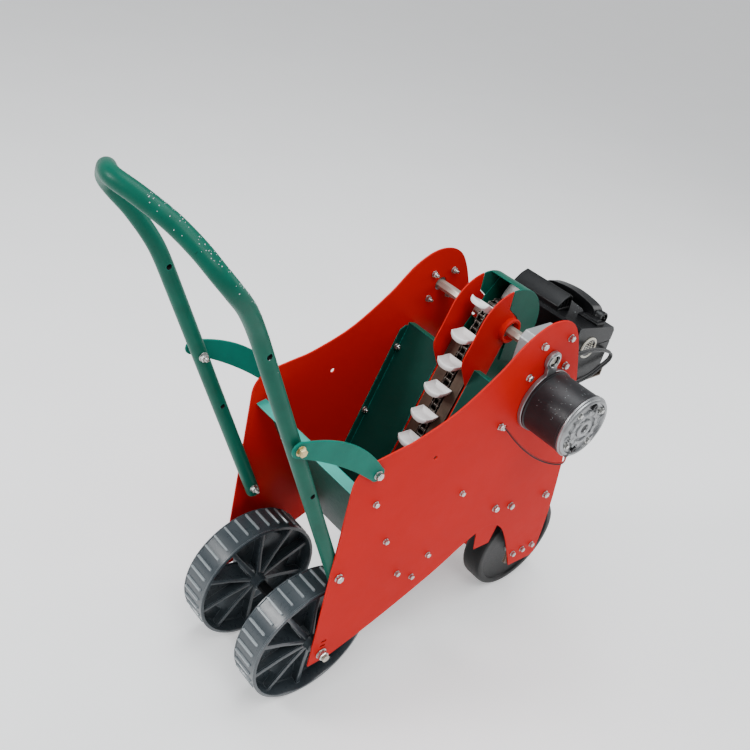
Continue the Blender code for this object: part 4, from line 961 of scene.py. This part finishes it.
def lump(bm, a, r0, r1, half, y0, y1):
    """Radial rib on the motor's end."""
    across = Vector((-math.sin(a), math.cos(a)))
    loops = []
    for y, share in ((y0, 1.3), (y1 + 0.0006, 1.0), (y1, 0.6)):
        loop = []
        for r, t in ((r0, -1), (r1, -1), (r1 + 0.001, 0), (r1, 1), (r0, 1)):
            loop.append((MOTOR[0] + r * math.cos(a) + across.x * t * half * share, y,
                         MOTOR[1] + r * math.sin(a) + across.y * t * half * share))
        loops.append(loop)
    rings(bm, loops)


def bearing():
    """Square flange, its boss and four bolts on the left plate."""
    y0 = PLATE_OUT + GAP
    half, corner = 0.038, 0.01
    straight = half - corner
    outline = []
    for quarter, (sx, sz) in enumerate(((1, 1), (-1, 1), (-1, -1), (1, -1))):
        outline += arc((SHAFT[0] + sx * straight, SHAFT[1] + sz * straight), corner, 90 * quarter,
                       90 * quarter + 90, 6)
    place("bearing_flange", slab(outline, y0, y0 + 0.007), ALLOY, stands_for=("shaft_bearing_left",),
          bevel=0.0014, angle=40, segments=3, tools=[cutter(circle(SHAFT, 0.0104, 36), 0.1, 0.2)])
    bm = bmesh.new()
    turned(bm, [(0.0104, y0 + 0.006), (0.0245, y0 + 0.006), (0.0238, y0 + 0.0125), (0.0225, y0 + 0.0138),
                (0.0195, y0 + 0.0138), (0.019, y0 + 0.0122), (0.014, y0 + 0.0122), (0.0136, y0 + 0.0136),
                (0.0104, y0 + 0.0136)], SHAFT, 56)
    place("bearing_boss", bm, ALLOY)
    bm = bmesh.new()
    for x, z in BEARING_BOLTS:
        bolt(bm, x + math.copysign(0.0015, x - SHAFT[0]), z, y0 + 0.007, 1, 0.0125, 0.4)
    place("bearing_bolts", bm, ZINC, **HARDWARE)


# ---------------------------------------------------------------- battery
BOX_X, BOX_Y, BOX_Z = (0.53, 0.645), (-0.08, 0.1), (0.5, 0.624)
LID_FALL = 0.181                   # the lid's drop for each unit forwards


def battery():
    (x0, x1), (y0, y1), (z0, z1) = BOX_X, BOX_Y, BOX_Z
    case = [(x0, z0 + 0.004), (x0 + 0.004, z0), (x1 - 0.01, z0), (x1 - 0.003, z0 + 0.008), (x1, z1 - 0.028),
            (x1 - 0.006, z1 - 0.019), (x0 + 0.004, z1), (x0, z1 - 0.004)]
    low, high = z1 - 0.0505, z1 - 0.0485
    grooves = []
    for x, y in ((x0 - 0.01, y0 + 0.0022), (x1 - 0.005, y1 + 0.01)):
        grooves.append(cutter([(x, low), (x1 + 0.01, low), (x1 + 0.01, high), (x, high)], y0 - 0.01, y))
    place("battery_case", slab(case, y0 + 0.0008, y1 - 0.0008), CASE_BLACK, stands_for=("battery_box",),
          bevel=0.0028, angle=20, segments=3, tools=grooves)
    ridge = [(0.01, -0.006), (0.011, 0.008), (0.026, 0.02), (0.042, 0.0262), (0.05, 0.021), (0.052, -0.012)]
    hollow = [(0.016, 0.001), (0.016, 0.0075), (0.027, 0.016), (0.04, 0.0205), (0.0465, 0.0165),
              (0.0475, 0.001)]
    ridge, hollow = ([(x0 + x, z1 + z) for x, z in line] for line in (ridge, hollow))
    place("battery_ridge", slab(ridge, -0.0125, 0.0985), CASE_BLACK, bevel=0.0026, angle=20, segments=3,
          tools=[cutter(hollow, -0.02, -0.004)])
    bm = bmesh.new()
    for k in range(3):
        x = x0 + 0.021 + 0.0085 * k
        block(bm, (x, -0.0115, z1 + 0.0005), (x + 0.003, -0.003, z1 + 0.01 + 0.003 * k))
    for k in range(7):
        y = 0.002 + 0.0125 * k
        block(bm, (x0 + 0.0535, y, z1 - 0.01), (x0 + 0.0655, y + 0.006, z1 - 0.006))
    for k in range(5):
        y = 0.033 * k - 0.06
        block(bm, (x1 - 0.004, y, z0 + 0.018), (x1 - 0.0008, y + 0.02, z0 + 0.064))
    place("battery_ribs", bm, CASE_BLACK, bevel=0.0008, angle=30)
    bm = bmesh.new()
    block(bm, (x0 + 0.058, y0 + 0.006, z1 - 0.0135), (x0 + 0.082, y0 + 0.052, z1 - 0.0055))
    block(bm, (x0 + 0.062, y0 + 0.011, z1 - 0.0075), (x0 + 0.077, y0 + 0.045, z1 - 0.003))
    place("battery_latch", bm, CASE_BLACK, bevel=0.0014, angle=30, segments=3)
    battery_bar()
    battery_badge()


def battery_bar():
    """Fat arched carrying bar with a ringed plug in its right end."""
    x, half = 0.617, 0.0145
    arch = smooth([(-0.054, 0.6104), (-0.052, 0.622), (-0.04, 0.6355), (0.01, 0.6428), (0.06, 0.6355),
                   (0.0715, 0.622), (0.073, 0.6104)], 6)
    inside = smooth([(-0.03, 0.6104), (-0.029, 0.615), (-0.021, 0.6195), (0.01, 0.622), (0.041, 0.6195),
                     (0.049, 0.615), (0.05, 0.6104)], 6)
    bm = bmesh.new()
    rings(bm, [[(x + d, y, z - d * LID_FALL) for y, z in arch + inside[::-1]] for d in (-half, half)])
    place("battery_bar", bm, CASE_BLACK, stands_for=("battery_handle",), bevel=0.0062, angle=50, segments=5)
    bm = bmesh.new()
    centre = (0.6175, 0.6175)
    turned(bm, [(0.006, -0.05), (0.0128, -0.05), (0.0136, -0.0508), (0.0136, -0.064), (0.0128, -0.0652),
                (0.0104, -0.0652), (0.0098, -0.064), (0.0098, -0.059), (0.006, -0.059)], centre, 40)
    for spot in circle(centre, 0.006, 5):
        rod(bm, [(0.0022, -0.058), (0.0022, -0.0632), (0.0016, -0.0638)], spot, 12)
    place("battery_plug", bm, CASE_BLACK)


def battery_badge():
    """Round gauge on the right face: pale ring, dark dial and raised hatching."""
    centre = (0.576, 0.574)
    face = BOX_Y[0]
    bm = bmesh.new()
    turned(bm, [(0.0172, face + 0.001), (0.0212, face + 0.001), (0.0216, face - 0.0012),
                (0.0206, face - 0.0022), (0.018, face - 0.0022), (0.0172, face - 0.0014)], centre, 56)
    place("gauge_ring", bm, CREAM)
    bm = bmesh.new()
    rod(bm, [(0.0174, face + 0.0008), (0.0174, face - 0.0008)], centre, 48)
    place("gauge_dial", bm, DIAL)
    bm = bmesh.new()
    for k in range(6):
        z = centre[1] - 0.011 + 0.0044 * k
        wide = 0.0125 - 0.001 * abs(k - 2.5) ** 1.6
        for j in range(3):
            x = centre[0] - wide + j * wide * 0.7
            block(bm, (x, face - 0.0013, z), (x + wide * 0.45, face - 0.0006, z + 0.002))
    place("gauge_hatching", bm, CREAM, bevel=0.0002, angle=30, segments=1)


# ---------------------------------------------------------------- leads
def wire(name, route, radius, offset, look, stands_for=()):
    bm = bmesh.new()
    rings(bm, tube_loops([Vector(p) + Vector(offset) for p in smooth(route, 8)], radius, 12))
    place(name, bm, look, stands_for=stands_for, angle=60)


def leads():
    """Two-wire leads held at both ends: motor to the plate, and the battery's own loop."""
    route = [(0.367, -0.229, 0.499), (0.363, -0.2325, 0.493), (0.357, -0.23, 0.487),
             (0.348, -0.216, 0.4815), (0.338, -0.196, 0.4805), (0.329, -0.174, 0.486),
             (0.321, -0.156, 0.496), (0.3145, -0.143, 0.5065), (0.312, -0.134, 0.511),
             (0.314, -0.126, 0.509), (0.32, -0.123, 0.498)]
    wire("motor_lead_black", route, 0.0013, (0.0, 0.0, -0.0008), SHEATH, ("motor_lead",))
    wire("motor_lead_red", route, 0.0012, (0.0004, 0.0, 0.0016), RED_WIRE)
    bm = bmesh.new()
    rod(bm, [(0.0034, -0.2235), (0.0046, -0.225), (0.0046, -0.229), (0.0036, -0.2312)], (0.3685, 0.501), 20)
    place("motor_grommet", bm, SHEATH, bevel=0.0004, angle=30)
    bm = bmesh.new()
    bolt(bm, 0.296, 0.519, -PLATE_OUT - 0.0012, -1, 0.0092, 0.4)
    prism(bm, [(0.29, 0.515), (0.313, 0.504), (0.315, 0.5085), (0.301, 0.524), (0.292, 0.523)],
          -PLATE_OUT - 0.0012, -PLATE_OUT - 0.0002)
    place("lead_clip", bm, ZINC, bevel=0.0002, angle=30, segments=1)
    loop = [(0.5, -0.096, 0.58), (0.54, -0.096, 0.58), (0.58, -0.093, 0.574), (0.62, -0.09, 0.562),
            (0.65, -0.088, 0.548), (0.656, -0.088, 0.538), (0.648, -0.089, 0.53), (0.62, -0.092, 0.522),
            (0.59, -0.095, 0.515), (0.55, -0.097, 0.512), (0.515, -0.098, 0.515)]
    wire("battery_lead_first", loop, 0.0024, (0.0, 0.0, 0.0), SHEATH, ("battery_lead",))
    wire("battery_lead_second", loop, 0.0022, (-0.006, 0.0008, 0.0052), SHEATH)


# ---------------------------------------------------------------- trim
def trim():
    """Hanger tabs inside the plates and the folded edges of the hopper; the rear edge's lighter green is a
    painted highlight.
    """
    for side, tag in SIDES:
        bm = bmesh.new()
        tab = [(0.3543, 0.2067), (0.3947, 0.2064), (0.404, 0.25), (0.429, 0.285), (0.429, 0.312),
               (0.356, 0.324), (0.343, 0.31), (0.3425, 0.26)]
        prism(bm, tab, *span(side, PLATE_IN - 0.0003, PLATE_IN - 0.0024))
        place("hanger_tab_" + tag, bm, RED, bevel=0.0004, angle=30)
        bm = bmesh.new()
        top, face = -0.0855, 0.035
        strip = [lift(top + 0.0022, face - 0.0162), lift(top + 0.0022, face + 0.0008),
                 lift(top + 0.0028, face + 0.0008), lift(top + 0.0028, face - 0.0162)]
        prism(bm, strip, *span(side, PLATE_IN - 0.0006, 0.038))
        place("hopper_front_edge_" + tag, bm, GREEN)
    bm = bmesh.new()
    # The rear edge's lighter green is a painted highlight on the flange's top.
    prism(bm, [(-0.0094, 0.4762), (0.0078, 0.4803), (0.0102, 0.479), (0.0106, 0.48), (0.008, 0.4812),
               (-0.0096, 0.477)], -PLATE_IN + 0.0006, PLATE_IN - 0.0006)
    place("hopper_rear_edge", bm, GREEN_PAINTED_HIGHLIGHT)


def dew():
    """Beads of water on the handle's crown, the motor and the battery."""
    chance = random.Random(21)
    bm = bmesh.new()
    crown = smooth([LEG_TOP] + BEND, 20)
    for _ in range(170):
        k = chance.randrange(1, len(crown) - 1)
        here = Vector(crown[k])
        ahead = (Vector(crown[k + 1]) - Vector(crown[k - 1])).normalized()
        up = Vector((0.0, 0.0, 1.0))
        up = (up - ahead * up.dot(ahead)).normalized()
        side = ahead.cross(up)
        a = chance.gauss(0.0, 0.55)
        normal = up * math.cos(a) + side * math.sin(a)
        bead(bm, here + normal * TUBE_R, normal, chance.uniform(0.0004, 0.0009))
    for _ in range(60):
        a = chance.uniform(0.4, 2.9)
        normal = Vector((math.cos(a), 0.0, math.sin(a)))
        spot = Vector((MOTOR[0], chance.uniform(-0.212, -0.152), MOTOR[1])) + normal * (MOTOR_R - 0.0025)
        bead(bm, spot, normal, chance.uniform(0.0003, 0.0006))
    for _ in range(70):
        x = chance.uniform(0.585, 0.638)
        z = BOX_Z[1] - LID_FALL * (x - BOX_X[0] - 0.004)
        bead(bm, Vector((x, chance.uniform(-0.074, 0.094), z)), Vector((0.178, 0.0, 0.984)),
             chance.uniform(0.0006, 0.0013))
    place("dew_beads", bm, WATER, angle=80)


def bead(bm, spot, normal, radius):
    """Flattened drop standing on a surface."""
    side = normal.orthogonal().normalized()
    other = normal.cross(side)
    loops = []
    for share, high in ((1.0, -0.25), (0.92, 0.25), (0.62, 0.52), (0.2, 0.64)):
        loops.append([tuple(spot + (side * math.cos(a) + other * math.sin(a)) * radius * share
                            + normal * radius * high)
                      for a in (math.pi * k / 4 for k in range(8))])
    rings(bm, loops)


# ---------------------------------------------------------------- stage
def stage():
    bm = bmesh.new()
    size = 40.0
    corners = ((-size, -size), (size, -size), (size, size), (-size, size))
    bm.faces.new([bm.verts.new((x, y, 0.0)) for x, y in corners])
    mesh = bpy.data.meshes.new("floor")
    bm.to_mesh(mesh)
    bm.free()
    floor = bpy.data.objects.new("floor", mesh)
    floor.location.z = min(cad_bounds[0][2], 0.0) - 0.0002
    bpy.context.collection.objects.link(floor)
    look = bpy.data.materials.new("floor_pale")
    look.use_nodes = True
    tree = look.node_tree
    shader = tree.nodes["Principled BSDF"]
    for name, value in (("Roughness", 0.85), ("Specular IOR Level", 0.2),
                        ("Emission Color", (1.0, 1.0, 1.0, 1.0)), ("Emission Strength", 0.42)):
        shader.inputs[name].default_value = value
    patches = noise(tree, node(tree, "ShaderNodeTexCoord").outputs["Object"], 3.0, 4.0)
    mask = ramp(tree, patches, 0.3, 0.7, 0.0, 1.0)
    link(tree, blend_colour(tree, mask, (0.88, 0.88, 0.88), (0.91, 0.91, 0.91)), shader.inputs["Base Color"])
    mesh.materials.append(look)
    world = bpy.data.worlds.new("studio")
    world.use_nodes = True
    sky = world.node_tree.nodes["Background"]
    sky.inputs["Color"].default_value = (0.93, 0.96, 1.0, 1.0)
    sky.inputs["Strength"].default_value = 0.42
    bpy.context.scene.world = world


def lamp(name, at, aim, size, power, tint=(1.0, 1.0, 1.0)):
    data = bpy.data.lights.new(name, 'AREA')
    data.shape = 'DISK'
    data.size = size
    data.energy = power
    data.color = tint
    thing = bpy.data.objects.new(name, data)
    thing.location = at
    thing.rotation_euler = (Vector(aim) - Vector(at)).to_track_quat('-Z', 'Y').to_euler()
    bpy.context.collection.objects.link(thing)


def lights():
    aim = (0.05, 0.0, 0.35)
    lamp("key", (-0.6, -1.1, 2.6), aim, 1.3, 33.0)
    lamp("sky", (0.3, 0.4, 3.4), aim, 2.2, 78.0, (0.93, 0.97, 1.0))
    lamp("rim", (-2.3, 1.3, 1.9), aim, 0.9, 44.0)
    lamp("front", (2.6, -0.6, 1.6), aim, 1.6, 22.0)


def camera():
    data = bpy.data.cameras.new("camera")
    data.sensor_width = 36.0
    data.lens = 45.6
    data.shift_x = 0.0791
    data.shift_y = -0.0023
    thing = bpy.data.objects.new("camera", data)
    azimuth, elevation, roll = (math.radians(a) for a in (-43.76, 32.54, 11.68))
    back = Vector((math.sin(azimuth) * math.cos(elevation), -math.cos(azimuth) * math.cos(elevation),
                   math.sin(elevation)))
    right = Vector((0.0, 0.0, 1.0)).cross(back).normalized()
    up = back.cross(right)
    right, up = right * math.cos(roll) + up * math.sin(roll), up * math.cos(roll) - right * math.sin(roll)
    turn = Matrix((right, up, back)).transposed().to_4x4()
    thing.matrix_world = Matrix.Translation(SHIFT + Vector((-0.8498, -0.871, 1.3924))) @ turn
    bpy.context.collection.objects.link(thing)
    bpy.context.scene.camera = thing


def carried_over():
    for names, look in ((("axle_sleeve",), CASE_BLACK),
                        (("front_bracket_right", "front_bracket_left"), BARE),
                        (("elevator_guide", "battery_tray"), BARE),
                        (("front_bolt_right", "front_bolt_left", "foot_shaft"), ZINC),
                        (("seed_boot",), RED), (("seed_spout",), GREEN),
                        # the hopper panels take the darker copy of the green: painted shade
                        (("hopper_rear_panel", "hopper_front_panel_right", "hopper_front_panel_left",
                          "hopper_floor"), GREEN_PAINTED_SHADE)):
        for name in names:
            repaint(name, look)


stage()
lights()
camera()
carried_over()
for this_side, this_tag in SIDES:
    side_plate(this_side, this_tag)
plate_bolts()
handle()
link_arms()
axle_ends()
for this_side, this_tag in SIDES:
    rear_wheel(this_tag, this_side)
for this_side, this_tag in SIDES:
    front_wheel(this_tag, this_side)
chain()
sprocket("head_sprocket", SHAFT, "drive_shaft", circle(SHAFT, HEX_CORNER + 0.0004, 6))
sprocket("foot_sprocket", FOOT_AT, "foot_sprocket", circle(FOOT_AT, 0.0054, 24))
for spoon_index in range(SPOONS):
    spoon(spoon_index)
spoon_lugs()
cheeks()
cover()
hex_shaft()
gearbox()
gearbox_cover()
motor()
bearing()
battery()
leads()
trim()
dew()
